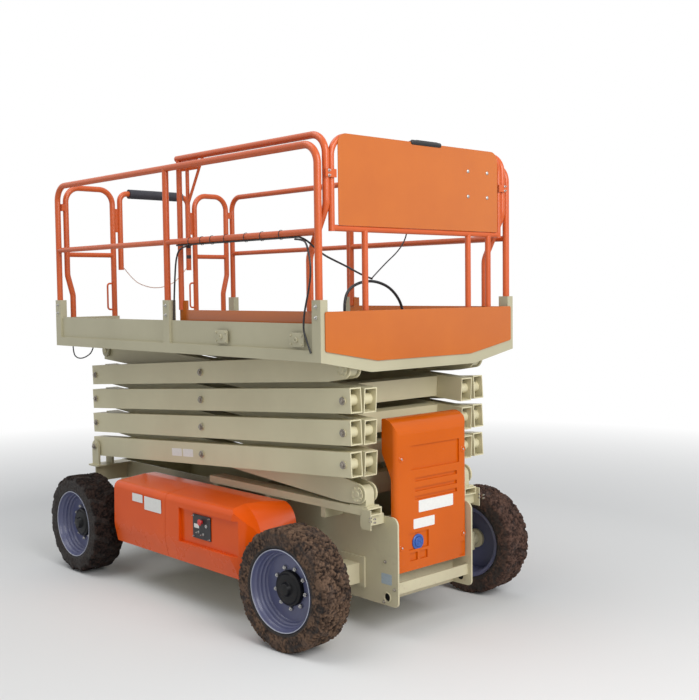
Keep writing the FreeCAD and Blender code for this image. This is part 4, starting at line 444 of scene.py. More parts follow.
def soft_lamp(name, place, aim, size, power):
    """A square lamp at a place, turned so that it looks at a point."""
    lamp = bpy.data.lights.new(name, "AREA")
    lamp.size, lamp.energy = size, power
    holder = bpy.data.objects.new(name, lamp)
    direction = Vector(aim) - Vector(place)
    holder.matrix_world = Matrix.Translation(place) @ direction.to_track_quat("-Z", "Y").to_matrix().to_4x4()
    bpy.context.scene.collection.objects.link(holder)
    return holder


bpy.context.scene.view_settings.view_transform = "Standard"
studio_floor()
studio_sky()
for lamp_row in (
    # name, place, aim, size, power
    ("sky_lamp", (8.0, -1.0, 5.5), (0, 0, 1.3), 5.0, 500),
    ("top_lamp", (-1.0, -3.0, 9.0), (0, 0, 1.5), 6.0, 260),
):
    soft_lamp(*lamp_row)
print("stage ready")

# %% [markdown]
# ## Cables and the gate chain
# A cable is a fixed length of something flexible, so each one is a single
# smooth spline through the route that its CAD tube holds. A chain follows the
# same kind of spline: its links sit at equal steps, each turned a quarter
# against the one before, which is how real links hang.

# %% Cords
RAIL_LINE = -0.797
CORD_ROUTES = (
    # name, diameter, body, length, stiffness, lay, points
    ("rear_drop", 0.011, "platform", 0.681, "medium", "hanging", (
        (0.165, -0.797, 2.2969), (0.095, -0.796, 2.2902), (0.048, -0.793, 2.2252), (0.028, -0.791, 2.110),
        (0.014, -0.790, 1.985), (0.006, -0.790, 1.850), (0.008, -0.790, 1.6903))),
    ("front_drop", 0.011, "platform", 0.760, "medium", "hanging", (
        (1.230, -0.797, 2.2969), (1.310, -0.805, 2.2922), (1.376, -0.835, 2.259), (1.407, -0.839, 2.167),
        (1.405, -0.839, 2.087), (1.387, -0.837, 2.018), (1.352, -0.835, 1.918), (1.336, -0.833, 1.853),
        (1.332, -0.831, 1.790), (1.358, -0.8265, 1.732), (1.384, -0.8255, 1.676))),
    ("control_lead", 0.011, "platform", 0.704, "medium", "hanging", (
        (1.2637, -0.797, 2.3082), (1.318, -0.795, 2.2942), (1.366, -0.765, 2.240), (1.370, -0.702, 2.204),
        (1.360, -0.630, 2.181), (1.340, -0.519, 2.149), (1.310, -0.423, 2.122), (1.280, -0.324, 2.096),
        (1.250, -0.230, 2.0792))),
    ("control_loop", 0.017, "extension", 0.983, "stiff", "loose", (
        (1.250, -0.440, 1.7279), (1.250, -0.446, 1.830), (1.250, -0.455, 1.940), (1.250, -0.423, 2.020),
        (1.250, -0.328, 2.060), (1.250, -0.222, 2.068), (1.250, -0.115, 2.042), (1.250, -0.040, 1.994),
        (1.250, 0.016, 1.925), (1.250, 0.032, 1.830), (1.250, 0.034, 1.7276))),
    ("control_riser", 0.008, "extension", 0.677, "medium", "hanging", (
        (1.2655, -0.247, 2.082), (1.271, -0.147, 2.165), (1.279, -0.045, 2.237), (1.290, 0.012, 2.310),
        (1.296, 0.030, 2.400), (1.298, 0.034, 2.510), (1.298, 0.0325, 2.6397))),
    ("under_hose", 0.009, "platform", 0.377, "medium", "hanging", (
        (-1.340, -0.790, 1.6264), (-1.336, -0.790, 1.568), (-1.283, -0.790, 1.540), (-1.205, -0.790, 1.540),
        (-1.125, -0.790, 1.562), (-1.065, -0.790, 1.590), (-1.0435, -0.790, 1.6242))),
)
CHAIN_ROUTE = ((-1.506, -0.2512, 2.205), (-1.506, -0.170, 2.108), (-1.506, -0.070, 2.062), (-1.506, 0.036, 2.045),
               (-1.506, 0.142, 2.062), (-1.506, 0.243, 2.109), (-1.506, 0.3272, 2.205))


def smooth_route(name, points, diameter):
    """A curve of one open NURBS spline of order 3 that starts and ends on its first and last control points."""
    curve = bpy.data.curves.new(name, "CURVE")
    curve.dimensions = "3D"
    curve.resolution_u = 16
    curve.bevel_depth = diameter / 2
    curve.bevel_resolution = 5
    curve.use_fill_caps = True
    spline = curve.splines.new("NURBS")
    spline.points.add(len(points) - 1)
    spline.points.foreach_set("co", np.column_stack([np.array(points), np.ones(len(points))]).ravel())
    spline.order_u = 3
    spline.use_endpoint_u = True
    route = bpy.data.objects.new(name, curve)
    bpy.context.scene.collection.objects.link(route)
    return route


for name, diameter, body, length, stiffness, lay, points in CORD_ROUTES:
    cable = smooth_route(name + "_cable", points, diameter)
    cable.data.materials.append(CABLE_SKIN)
    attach(cable, body)
    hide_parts(name)
print("cables:", len(CORD_ROUTES))

# %% The gate chain's links
LINK_LENGTH, LINK_WIDTH, LINK_WIRE = 0.020, 0.009, 0.0015
LINK_PITCH, LINK_AHEAD = LINK_LENGTH - 2.6 * LINK_WIRE, 0.004
LINK_STEPS, WIRE_STEPS = 20, 6


def link_form():
    """One link: a circle of wire carried round a stadium; centre line = two half circles joined by straights."""
    turn = np.linspace(0, 2 * np.pi, LINK_STEPS, endpoint=False)
    outward = np.stack([np.cos(turn), np.zeros(LINK_STEPS), np.sin(turn)], axis=1)
    centre = (LINK_WIDTH / 2 - LINK_WIRE) * outward
    centre[:, 2] += (LINK_LENGTH - LINK_WIDTH) / 2 * np.sign(np.round(np.sin(turn), 6))
    around = np.linspace(0, 2 * np.pi, WIRE_STEPS, endpoint=False)
    wire = LINK_WIRE * np.cos(around)[None, :, None] * outward[:, None]
    wire[..., 1] += LINK_WIRE * np.sin(around)
    return (centre[:, None] + wire).reshape(-1, 3), grid_faces(LINK_STEPS, WIRE_STEPS, True, True)


def read_route(points):
    """The smooth line's own points, read from its spline with no thickness."""
    route = smooth_route("route_reader", points, 0.0)
    route.data.resolution_u = 40
    mesh = bpy.data.meshes.new_from_object(route)
    line = np.array([vertex.co for vertex in mesh.vertices])
    bpy.data.objects.remove(route)
    return line


def chain_form(line):
    """Links at equal steps of length, each rolled 90 degrees against the last, its long axis along the line."""
    steps = np.linalg.norm(np.diff(line, axis=0), axis=1)
    run = np.concatenate([[0], np.cumsum(steps)])
    count = int(run[-1] / LINK_PITCH)
    at = (np.arange(count) + 0.5) * run[-1] / count
    places = np.stack([np.interp(at, run, line[:, axis]) for axis in range(3)], axis=1)
    ahead = np.stack([np.interp(at + LINK_AHEAD, run, line[:, axis]) for axis in range(3)], axis=1) - places
    ahead[-1] = ahead[-2]
    ahead = ahead / np.linalg.norm(ahead, axis=1, keepdims=True)
    flat = np.cross(ahead, [1.0, 0.0, 0.0])
    roll = np.where(np.arange(count) % 2 == 0, np.pi / 4, -np.pi / 4)[:, None]
    u = np.cos(roll) * np.array([1.0, 0.0, 0.0]) + np.sin(roll) * flat
    v = np.cross(ahead, u)
    points, faces = link_form()
    moved = places[:, None] + points @ np.stack([u, v, ahead], axis=1)
    return joined_forms([(link, faces) for link in moved]), run[-1]


chain_line = read_route(CHAIN_ROUTE)
form, chain_run = chain_form(chain_line)
chain = make_piece("gate_chain_links", form, "platform", CHAIN_STEEL, smooth_below=60)
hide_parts("gate_chain")
print("chain run", round(float(chain_run), 3), "m")

# %% [markdown]
# ## Tyres
# The tyres are the roughest surface on the machine. Each is one closed grid:
# the long way round is the wheel's turn, the short way runs across the tread,
# down both sidewalls and back through the bore. Slanted lugs in two staggered
# rows rise from the carcass, and mud is a second height that fills the grooves
# and, on the wheel that was steered through the soft ground, buries them.

# %% Tyre section and mud
TYRE_HALF, TREAD_RADIUS, CARCASS_RADIUS, BEAD_RADIUS = 0.1173, 0.3472, 0.3290, 0.2364
LUG_COUNT, LUG_SLANT, LUG_HALF_WIDTH = 16, math.radians(24), 0.0185
ROUND_STEPS, SECTION_STEPS = 520, 88
LATTICE = 32
CLOD, LUMP, CRUMB = 0.060, 0.022, 0.0085
SHOULDER, LUG_FADE, BEAD_FADE = (0.300, 0.325), (0.296, 0.318), (0.2465, 0.2600)
SIDE_MUD_DEPTH, SIDE_MUD_SEAT, RIB_HEIGHT, RIB_TURNS = 0.006, 0.0055, 0.0012, 700
# Half of the section from the bore to the middle of the tread: radius, distance from the wheel's middle plane.
HALF_SECTION = np.array([
    (BEAD_RADIUS, 0.1080), (0.2440, 0.1150), (0.2620, 0.1165), (0.2900, TYRE_HALF), (0.3080, 0.1150),
    (0.3210, 0.1090), (0.3270, 0.1000), (CARCASS_RADIUS, 0.0900), (CARCASS_RADIUS, 0.0450), (CARCASS_RADIUS, 0.0),
])


def lattice_noise(points, cell, seed):
    """Smooth noise in 0..1: random values on a lattice of that cell size, blended by smoothstep."""
    table = np.random.default_rng(seed).random((LATTICE, LATTICE, LATTICE))
    scaled = points / cell
    base = np.floor(scaled).astype(int)
    part = scaled - base
    part = part * part * (3 - 2 * part)
    total = np.zeros(points.shape[:-1])
    for corner in np.ndindex(2, 2, 2):
        index = (base + corner) % LATTICE
        weight = np.prod(np.where(np.array(corner) == 1, part, 1 - part), axis=-1)
        total += weight * table[index[..., 0], index[..., 1], index[..., 2]]
    return total


def tyre_section():
    """Radius and cross position by arc length from bead to bead: half of the section, then its mirror image."""
    corner = np.concatenate([HALF_SECTION * (1, -1), HALF_SECTION[-2::-1]])
    run = np.concatenate([[0], np.cumsum(np.linalg.norm(np.diff(corner, axis=0), axis=1))])
    at = np.linspace(0, run[-1], SECTION_STEPS)
    return np.interp(at, run, corner[:, 0]), np.interp(at, run, corner[:, 1])


def rise(value, low, high):
    """Smoothstep from 0 at low to 1 at high."""
    part = np.clip((value - low) / (high - low), 0, 1)
    return part * part * (3 - 2 * part)


def lug_height(angle, across, radius):
    """Height share of the lugs: 1 on the slanted bars of two staggered rows, fading down the shoulder."""
    total = np.zeros(np.broadcast(angle, across).shape)
    pitch = 2 * np.pi / LUG_COUNT
    for row, shift in ((-1, 0.0), (1, pitch / 2)):
        turn = (angle - shift + pitch / 2) % pitch - pitch / 2
        along = turn * TREAD_RADIUS
        off = across - row * TYRE_HALF / 2
        slant = LUG_SLANT * row
        wide = along * math.cos(slant) + off * math.sin(slant)
        bar = 1 - rise(np.abs(wide), LUG_HALF_WIDTH - 0.003, LUG_HALF_WIDTH + 0.004)
        inner = rise(row * across, 0.004, 0.012)
        total = np.maximum(total, bar * inner)
    return total * rise(radius, *LUG_FADE)


def tyre_form(seed, mud_level, lump, side_mud, film):
    """The tyre's grid: section radius + the larger of the lug's height and a noisy fill of mud.

    Also gives, at each point, how far mud covers the rubber and how high its clods stand, both 0 to 1.
    """
    section_radius, section_across = tyre_section()
    angle = np.linspace(0, 2 * np.pi, ROUND_STEPS, endpoint=False)[:, None]
    radius = np.broadcast_to(section_radius, (ROUND_STEPS, SECTION_STEPS))
    across = np.broadcast_to(section_across, radius.shape)
    lug = lug_height(angle, across, radius)
    points = np.stack([radius * np.cos(angle), across, radius * np.sin(angle)], axis=-1)
    coarse, middle, fine = [lattice_noise(points, cell, seed + k) for k, cell in enumerate((CLOD, LUMP, CRUMB))]
    outer = rise(radius, *SHOULDER)
    depth = TREAD_RADIUS - CARCASS_RADIUS
    lugs_up = depth * lug
    level = mud_level + 0.55 * (coarse - 0.5) + 0.40 * (middle - 0.5) + lump * (fine - 0.5)
    fill = depth * level * outer
    top = np.maximum(lugs_up, fill)
    mud = rise(fill - lugs_up, -0.003, 0.002) * outer
    clods = rise(coarse * 0.6 + middle * 0.4, 0.48, 0.60)
    side = (1 - outer) * rise(radius, *BEAD_FADE)
    swell = side * side_mud * (0.35 + 0.65 * clods) * (0.5 + middle * 0.7 + fine * 0.5) * SIDE_MUD_DEPTH
    band = side * RIB_HEIGHT * rise(np.cos(radius * RIB_TURNS), 0.2, 0.8) * (1 - side_mud)
    radius = np.minimum(radius + top, TREAD_RADIUS + 0.0004)
    across = across - np.sign(across) * (side * SIDE_MUD_SEAT * side_mud) + np.sign(across) * (swell + band)
    across = np.clip(across, -TYRE_HALF, TYRE_HALF)
    points = np.stack([radius * np.cos(angle), across, radius * np.sin(angle)], axis=-1)
    mud = np.maximum(mud, side * side_mud * (0.55 + 0.45 * clods))
    mud = np.maximum(mud, film * outer * (0.65 + 0.35 * clods))
    # relief rises with the mud's noise; the mud finish turns it into painted light on high clods and painted shade
    # in the hollows.
    relief = rise(0.10 * coarse + 0.35 * middle + 0.55 * fine, 0.25, 0.75)
    return points, mud, relief


print("tyre grid:", ROUND_STEPS, "by", SECTION_STEPS)


# %% Rubber and mud
def muddy_rubber(name, mud_light, mud_shade_colour, wet):
    """Black rubber under mud.

    The piece's own mud attribute, roughened by noise, chooses between the two,
    and its relief attribute paints light and shade on the mud: high clods pale,
    the hollows between them dark.
    """
    finish = Finish(name, (0.02, 0.02, 0.02), 0.6, specular=0.2)
    spots = finish.ramp(finish.noise(38.0, 6.0, 0.65), 0.2, 0.8, -0.30, 0.30)
    cover = finish.ramp(finish.math("ADD", finish.attribute("mud"), spots), 0.15, 0.70)
    crumb_tone = finish.ramp(finish.noise(75.0, 7.0, 0.8), 0.30, 0.70, -0.40, 0.40)
    # Painted light and shade on the mud: high clods towards the pale colour, hollows towards the dark one.
    clod_light_and_shade = finish.math("ADD", finish.attribute("relief"), crumb_tone)
    earth = finish.mix(finish.ramp(clod_light_and_shade, 0.0, 1.1), mud_shade_colour, mud_light)
    patch = finish.ramp(finish.noise(9.0, 5.0, 0.6), 0.50, 0.80, 0.0, 0.6)
    earth = finish.mix(patch, earth, wet)
    crumbs = finish.ramp(finish.noise(160.0, 3.0, 0.6), 0.60, 0.75, 0.0, 0.6)
    earth = finish.mix(crumbs, earth, mud_light)
    worn = finish.ramp(finish.noise(60.0, 4.0), 0.35, 0.7)
    rubber = finish.mix(worn, (0.016, 0.015, 0.015), (0.050, 0.040, 0.034))
    finish.colour(finish.mix(cover, rubber, earth))
    finish.rough(finish.ramp(cover, 0.0, 1.0, 0.55, 0.92))
    finish.bump(finish.noise(75.0, 7.0, 0.75), 0.85, 0.006)
    return finish.material


# The second colour of each mud is the painted shade in the hollows between clods.
CAKED = muddy_rubber("caked_mud", (0.165, 0.100, 0.064), (0.012, 0.008, 0.007), (0.058, 0.051, 0.050))
DAMP = muddy_rubber("damp_mud", (0.036, 0.021, 0.016), (0.0040, 0.0030, 0.0030), (0.011, 0.009, 0.010))
BROWN = muddy_rubber("brown_mud", (0.120, 0.066, 0.048), (0.014, 0.008, 0.007), (0.045, 0.032, 0.028))
print("mud finishes ready")

# %% [markdown]
# ## Where the wheels stand
# Each wheel has its own frame: a centre, the direction of its axle and a sign
# for the side that faces out. The steered pair stands turned a few degrees,
# about kingpins that sit inside the wheels.

# %% Wheel frames
AXLE_HEIGHT, REAR_AXLE, FRONT_AXLE = 0.34771, -1.1816, 1.170
WHEEL_TRACK, KINGPIN_TRACK, STEER_REST = 0.8005, 0.723, math.radians(5.5)
WHEELS = (
    # name, body, side, steered, finish, seed, mud level, lump, mud on the sidewalls, film on the lugs
    ("rear_near", "wheel_rear_near", -1, False, DAMP, 11, 0.52, 0.85, 0.35, 0.75),
    ("rear_far", "wheel_rear_far", 1, False, DAMP, 23, 0.55, 0.85, 0.35, 0.75),
    ("front_near", "wheel_front_near", -1, True, CAKED, 37, 0.66, 1.50, 1.0, 1.0),
    ("front_far", "wheel_front_far", 1, True, BROWN, 41, 0.60, 1.20, 0.6, 0.95),
)


def wheel_frame(side, steered):
    """Centre and turn of a wheel; local +Y points outwards, local +Z up."""
    if steered:
        turn = np.array([[math.cos(STEER_REST), -math.sin(STEER_REST), 0],
                         [math.sin(STEER_REST), math.cos(STEER_REST), 0], [0, 0, 1]])
        centre = np.array([FRONT_AXLE, side * KINGPIN_TRACK, AXLE_HEIGHT])
        centre = centre + turn @ np.array([0, side * (WHEEL_TRACK - KINGPIN_TRACK), 0])
    else:
        turn = np.eye(3)
        centre = np.array([REAR_AXLE, side * WHEEL_TRACK, AXLE_HEIGHT])
    face = np.diag([side, side, 1.0])
    return centre, turn @ face


def in_wheel(points, centre, turn):
    """Local wheel points carried into the machine's frame."""
    return np.asarray(points) @ turn.T + centre


tyre_faces = grid_faces(ROUND_STEPS, SECTION_STEPS, True, True)
for name, body, side, steered, finish, *mud_terms in WHEELS:
    centre, turn = wheel_frame(side, steered)
    points, mud, relief = tyre_form(*mud_terms)
    form = (in_wheel(points.reshape(-1, 3), centre, turn), tyre_faces)
    tyre = make_piece("muddy_tyre_" + name, form, body, finish, smooth_below=180)
    for label, values in (("mud", mud), ("relief", relief)):
        attribute = tyre.data.attributes.new(label, "FLOAT", "POINT")
        attribute.data.foreach_set("value", values.ravel().astype(np.float32))
    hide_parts("tyre_" + name)
print("tyres: 4, each", ROUND_STEPS * SECTION_STEPS * 2, "triangles")

# %% [markdown]
# ## Wheels and hubs
# A pressed wheel is sheet steel spun into steps: a rolled lip, a bead seat,
# three shallow steps down the well and a flat disc with a ring of nuts. One
# profile turned about the axle gives all of it. The drive hub in the middle
# is a black casting with its own round cap.

# %% Pressed rims, hubs and nuts
RIM_PROFILE = (
    # radius, depth behind the tyre's outer face
    (0.070, 0.112), (0.186, 0.112), (0.197, 0.108), (0.201, 0.118), (0.202, 0.206), (0.212, 0.220), (0.229, 0.224),
    (0.236, 0.2288), (0.236, 0.0075), (0.2345, 0.0050), (0.2315, 0.0045), (0.2290, 0.0065), (0.2265, 0.0140),
    (0.2235, 0.0300), (0.2190, 0.0345), (0.2170, 0.0390), (0.2160, 0.0520), (0.2120, 0.0575), (0.2085, 0.0600),
    (0.2070, 0.0740), (0.2030, 0.0790), (0.1965, 0.0815), (0.1945, 0.0920), (0.1880, 0.0985), (0.0800, 0.1000),
)
HUB_PROFILE = (
    (0.101, 0.104), (0.101, 0.080), (0.097, 0.074), (0.090, 0.072), (0.086, 0.070), (0.081, 0.063), (0.066, 0.060),
    (0.042, 0.059), (0.039, 0.056), (0.036, 0.042), (0.032, 0.037), (0.020, 0.035), (0.006, 0.0345),
)
RIM_SIDES, LIP_SIDES, HUB_SIDES = 96, 120, 48
NUT_TURN, NUT_SEAT = 0.2, 0.0995
NUT_WIDTH, NUT_HEIGHT, STUD_RADIUS = 0.026, 0.013, 0.007
LIP_PROFILE = ((0.2352, 0.0060), (0.2345, 0.0040), (0.2322, 0.0032), (0.2300, 0.0042), (0.2292, 0.0062))
NUT_RING, NUT_COUNT = 0.118, 9
RIM_LIP_DEPTH = 0.1175


def depth_profile(profile):
    """Turns (radius, depth behind the outer face) into (radius, height towards the outside)."""
    return [(radius, RIM_LIP_DEPTH - depth) for radius, depth in profile]


def upright(points):
    """Carries a form turned about Z to the wheel's axle, local Y: Z goes to Y and Y to -Z."""
    points = np.asarray(points)
    return np.stack([points[:, 0], points[:, 2], -points[:, 1]], axis=1)


def hex_nut(across, height, stud):
    """A nut with a chamfered crown and the end of its stud."""
    nut = turned_form([(across / 2, 0.0), (across / 2, height * 0.85), (across * 0.44, height)], 6)
    end = turned_form([(stud, height * 0.5), (stud, height * 1.35), (stud * 0.8, height * 1.5)], 10)
    return joined_forms([nut, end])


lip = np.array(depth_profile(LIP_PROFILE))
around = np.linspace(0, 2 * np.pi, LIP_SIDES, endpoint=False)[:, None]
lip_ring = np.stack([lip[:, 0] * np.cos(around), lip[:, 0] * np.sin(around),
                     np.broadcast_to(lip[:, 1], (LIP_SIDES, len(lip)))], axis=-1)
around = np.linspace(0, 2 * np.pi, NUT_COUNT, endpoint=False) + NUT_TURN
nut_places = np.stack([NUT_RING * np.cos(around), NUT_RING * np.sin(around),
                       np.full(NUT_COUNT, RIM_LIP_DEPTH - NUT_SEAT)], axis=1)
WHEEL_FORMS = (
    # name, form, slot, finish, shaded smooth below
    ("pressed_rim_", turned_form(depth_profile(RIM_PROFILE), RIM_SIDES), "rim_paint", RIM_BLUE, 40),
    # The lip's paler finish is a painted highlight.
    ("rim_lip_", (lip_ring.reshape(-1, 3), grid_faces(LIP_SIDES, len(lip), True, True)), "rim_paint",
     RIM_PAINTED_HIGHLIGHT, 60),
    ("drive_hub_", turned_form(depth_profile(HUB_PROFILE), HUB_SIDES), "dark_steel", HUB_BLACK, 35),
    ("wheel_nuts_", placed_copies(hex_nut(NUT_WIDTH, NUT_HEIGHT, STUD_RADIUS), nut_places, [(0, 0, 1)]),
     "dark_steel", ZINC, None),
)
for name, body, side, steered, *_ in WHEELS:
    centre, turn = wheel_frame(side, steered)
    for kind, (points, faces), slot, finish, smooth in WHEEL_FORMS:
        form = (in_wheel(upright(points), centre, turn), faces)
        piece = make_piece(kind + name, form, body, finish, smooth)
        if kind == "pressed_rim_":
            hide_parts("rim_" + name)
print("rims, hubs and", NUT_COUNT * 4, "nuts")

# %% [markdown]
# ## Bolts on the scissor pins
# Every pin through the arms ends in a thick washer and a hexagon bolt that
# keep it from walking out. Their places come from the joints themselves, and
# the face that a bolt sits on is read from the solids round that pin, so they
# sit right at any size of the machine.

# %% Pin ends
node_points = {name: np.array([vertex.co for vertex in node.data.vertices]) for name, node in nodes.items()}
joint_places = {joint["name"]: joint["pos_m"] for joint in frame["joints"] if "pos_m" in joint}
FRONT_PIN_X = joint_places["lower_slide_pivot"][0]
PIN_WASHER, WASHER_SIDES, NOSE_REACH = 0.0225, 32, 0.060
PIN_CARRIERS = ("outer_arms", "inner_arms", "chassis_frame", "lower", "upper")
SIDES = (("near", -1), ("far", 1))


def outer_face(x, z, reach, wanted):
    """Largest distance from the centre plane of the wanted nodes' points within reach of a pin's axis."""
    best = 0.0
    for name, points in node_points.items():
        if name.startswith(wanted):
            near = np.hypot(points[:, 0] - x, points[:, 2] - z) < reach
            if near.any():
                best = max(best, float(np.abs(points[near, 1]).max()))
    return best


def pin_end(radius):
    """A washer of that radius and on it a hexagon head with a chamfered crown, stacked along local Z."""
    washer = turned_form([(radius, -0.0015), (radius, 0.0030), (radius - 0.0016, 0.0045), (radius * 0.62, 0.0045)],
                         WASHER_SIDES)
    head = turned_form([(radius * 0.60, 0.0035), (radius * 0.60, 0.0120), (radius * 0.50, 0.0140)], 6)
    return joined_forms([washer, head])


for level in range(1, 5):
    rear_joint = "lift" if level == 1 else "link_%d" % level
    pivots = [joint_places["cross_%d" % level], joint_places[rear_joint]]
    if level < 4:
        pivots.append((FRONT_PIN_X, 0.0, joint_places["link_%d" % (level + 1)][2]))
    places, axes = [], []
    for x, _, z in pivots:
        face = outer_face(x, z, PIN_WASHER, PIN_CARRIERS)
        places += [(x, side * face, z) for side in (-1, 1)]
        axes += [(0, side, 0) for side in (-1, 1)]
    bolts = placed_copies(pin_end(PIN_WASHER), places, axes)
    make_piece("pin_bolts_%d" % level, bolts, "outer_%d" % level, STEEL, smooth_below=30)
    print("level", level, "pin faces", sorted({round(place[1], 4) for place in places}))

# %% [markdown]
# ## Slide noses
# The arm ends that run in the tracks are forks with round noses. A ring of
# small bolts holds the wear disc on each nose; it catches the light in the
# photograph just ahead of the track's end.

# %% Nose rings
NOSE_RING, NOSE_BOLTS, NOSE_TURN = 0.035, 7, 0.3


def nose_cap(bolts, ring):
    """A flat disc with a raised rim and a ring of small socket screws, all along local Z."""
    disc = turned_form([(0.046, -0.001), (0.046, 0.0025), (0.0445, 0.0035), (0.041, 0.0020), (0.018, 0.0020),
                        (0.0165, 0.0050), (0.0150, 0.0060)], 40)
    angle = np.linspace(0, 2 * np.pi, bolts, endpoint=False) + NOSE_TURN
    screw = turned_form([(0.0055, 0.0010), (0.0055, 0.0050), (0.0045, 0.0060), (0.0028, 0.0060),
                         (0.0024, 0.0040)], 12)
    places = np.stack([ring * np.cos(angle), ring * np.sin(angle), np.zeros(bolts)], axis=1)
    return joined_forms([disc, placed_copies(screw, places, [(0, 0, 1)])])


for tag, pivot, wanted, body in (("lower", "lower_slide_pivot", ("inner_arms_1",), "inner_1"),
                                 ("upper", "upper_slide_pivot", ("outer_arms_4",), "outer_4")):
    x, _, z = joint_places[pivot]
    face = outer_face(x, z, NOSE_REACH, wanted)
    caps = placed_copies(nose_cap(NOSE_BOLTS, NOSE_RING), [(x, -face, z), (x, face, z)], [(0, -1, 0), (0, 1, 0)])
    make_piece("nose_caps_" + tag, caps, body, CREAM_PAINTED_LIGHT, smooth_below=30)
    print(tag, "nose caps at", round(face, 4))

# %% [markdown]
# ## Small plates, labels and screws
# Labels on a machine like this are thin film with rounded corners. They are
# blank here. The same rounded outline, a little thicker, makes the bolted
# cream plates on the side channels.


# %% Rounded plates and labels
LARGEST_BEVEL, CORNER_STEPS = 0.0015, 6
LABEL_FILM, LABEL_CORNER = 0.0008, 0.006


def rounded_plate(width, height, thickness, corner, lean=0.0):
    """A rounded rectangle in local XY raised along Z: quarter circles at the corners, a small bevel above."""
    bevel = min(thickness * 0.4, LARGEST_BEVEL)
    quarter = np.linspace(0, np.pi / 2, CORNER_STEPS)
    outline = []
    for index, (sx, sy) in enumerate(((1, 1), (-1, 1), (-1, -1), (1, -1))):
        angle = quarter + index * np.pi / 2
        centre = np.array([sx * (width / 2 - corner), sy * (height / 2 - corner)])
        outline.append(centre + corner * np.stack([np.cos(angle), np.sin(angle)], axis=1))
    flat = np.concatenate(outline)
    shrink = 1 - bevel / (min(width, height) / 2)
    turn = np.array([[math.cos(lean), math.sin(lean)], [-math.sin(lean), math.cos(lean)]])
    count = len(flat)
    rings = [np.column_stack([flat * share @ turn, np.full(count, level)])
             for share, level in ((1, 0.0), (1, thickness - bevel), (shrink, thickness))]
    points = np.concatenate(rings)
    faces = grid_faces(3, count, close_columns=True)
    faces.append(list(range(count))[::-1])
    faces.append(list(range(2 * count, 3 * count)))
    return points, faces


ARM_SLOPE = math.atan2(joint_places["cross_1"][2] - joint_places["lift"][2],
                       joint_places["cross_1"][0] - joint_places["lift"][0])
LABELS = (
    # name, body, centre, axis, width, height, lean
    ("arm_label_a", "outer_1", (-0.330, -0.5702, 0.9235), (0, -1, 0), 0.120, 0.052, ARM_SLOPE),
    ("arm_label_b", "outer_1", (-0.195, -0.5702, 0.9323), (0, -1, 0), 0.120, 0.052, ARM_SLOPE),
    ("cover_label_a", "chassis", (-0.425, -0.8297, 0.632), (0, -1, 0), 0.130, 0.055, 0.0),
    ("cover_label_b", "chassis", (-0.236, -0.8297, 0.612), (0, -1, 0), 0.205, 0.090, 0.0),
    ("end_label_a", "chassis", (1.5081, 0.030, 0.751), (1, 0, 0), 0.300, 0.070, 0.0),
    ("end_label_b", "chassis", (1.5081, -0.075, 0.653), (1, 0, 0), 0.180, 0.058, 0.0),
)
for name, body, centre, axis, width, height, lean in LABELS:
    film = rounded_plate(width, height, LABEL_FILM, LABEL_CORNER, lean)
    fitted(name, film, [centre], axis, body, LABEL_WHITE)
print("blank labels:", len(LABELS))

# %% Bolted plates on the side channels and bolts on the rail sockets
DECK_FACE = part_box("platform_frame")[1].y
PLATE_PLACES = ((0.560, 1.745), (1.262, 1.745))
SOCKETS, SOCKET_ROWS, SOCKET_WASHER, SOCKET_LIFT = (-1.499, -0.041, 1.424), (1.868, 1.928), 0.0105, 0.0002


def bolted_plate():
    """A rounded plate with four hexagon bolts near its corners and a round boss in its middle."""
    plate = rounded_plate(0.125, 0.078, 0.006, 0.008)
    bolt = turned_form([(0.0075, 0.005), (0.0075, 0.0105), (0.0062, 0.0118)], 6)
    corners = [(x, y, 0.0) for x in (-0.047, 0.047) for y in (-0.025, 0.025)]
    boss = turned_form([(0.0150, 0.005), (0.0150, 0.0120), (0.0125, 0.0145), (0.0070, 0.0145),
                        (0.0060, 0.0110)], 24)
    return joined_forms([plate, placed_copies(bolt, corners, [(0, 0, 1)]), boss])


for tag, side in SIDES:
    out = (0, side, 0)
    places = [(x, side * DECK_FACE, z) for x, z in PLATE_PLACES]
    fitted("channel_plates_" + tag, bolted_plate(), places, out, "platform", CREAM_PAINTED_SHADE, 30)
    places = [(x, side * (DECK_FACE + SOCKET_LIFT), z) for x in SOCKETS for z in SOCKET_ROWS]
    fitted("socket_bolts_" + tag, pin_end(SOCKET_WASHER), places, out, "platform", ZINC, 30)
print("channel plates and socket bolts placed at", round(DECK_FACE, 4))

# %% [markdown]
# ## Chassis ends
# The side plates carry three bolts, a small pale decal and, low at the corner,
# the hook hole whose torch-cut rim is rounded by a welded ring. A black disc
# 9 mm inside each hole is painted shade: it stands in for the shadowed depth of
# the hole, because the solids have the front bar's end right behind it. The
# stop plate under the end of each slide track is held by four bolts.

# %% Chassis plate details
PLATE_FACE = 0.325
HOOK_X, HOOK_Z, HOOK_RADIUS, HOOK_SHADE_DEPTH = 1.447, 0.244, 0.024, 0.009
RING_GAP, RING_WIRE, RING_STEPS, RING_WIRE_STEPS = 0.0035, 0.0045, 40, 10
PLATE_BOLTS = ((1.436, 0.450), (1.510, 0.300), (1.424, 0.215))
STOP_X, STOP_Z, STOP_STEP_X, STOP_STEP_Z, STOP_REACH = 1.484, 0.722, 0.017, 0.010, 0.045


def welded_ring(radius, wire):
    """A torus about local Z: a small circle of wire carried round the hole's edge."""
    around = np.linspace(0, 2 * np.pi, RING_STEPS, endpoint=False)[:, None]
    small = np.linspace(0, 2 * np.pi, RING_WIRE_STEPS, endpoint=False)[None, :]
    distance = radius + wire * np.cos(small)
    height = np.broadcast_to(wire * np.sin(small), (RING_STEPS, RING_WIRE_STEPS))
    points = np.stack([distance * np.cos(around), distance * np.sin(around), height], axis=-1)
    return points.reshape(-1, 3), grid_faces(RING_STEPS, RING_WIRE_STEPS, True, True)


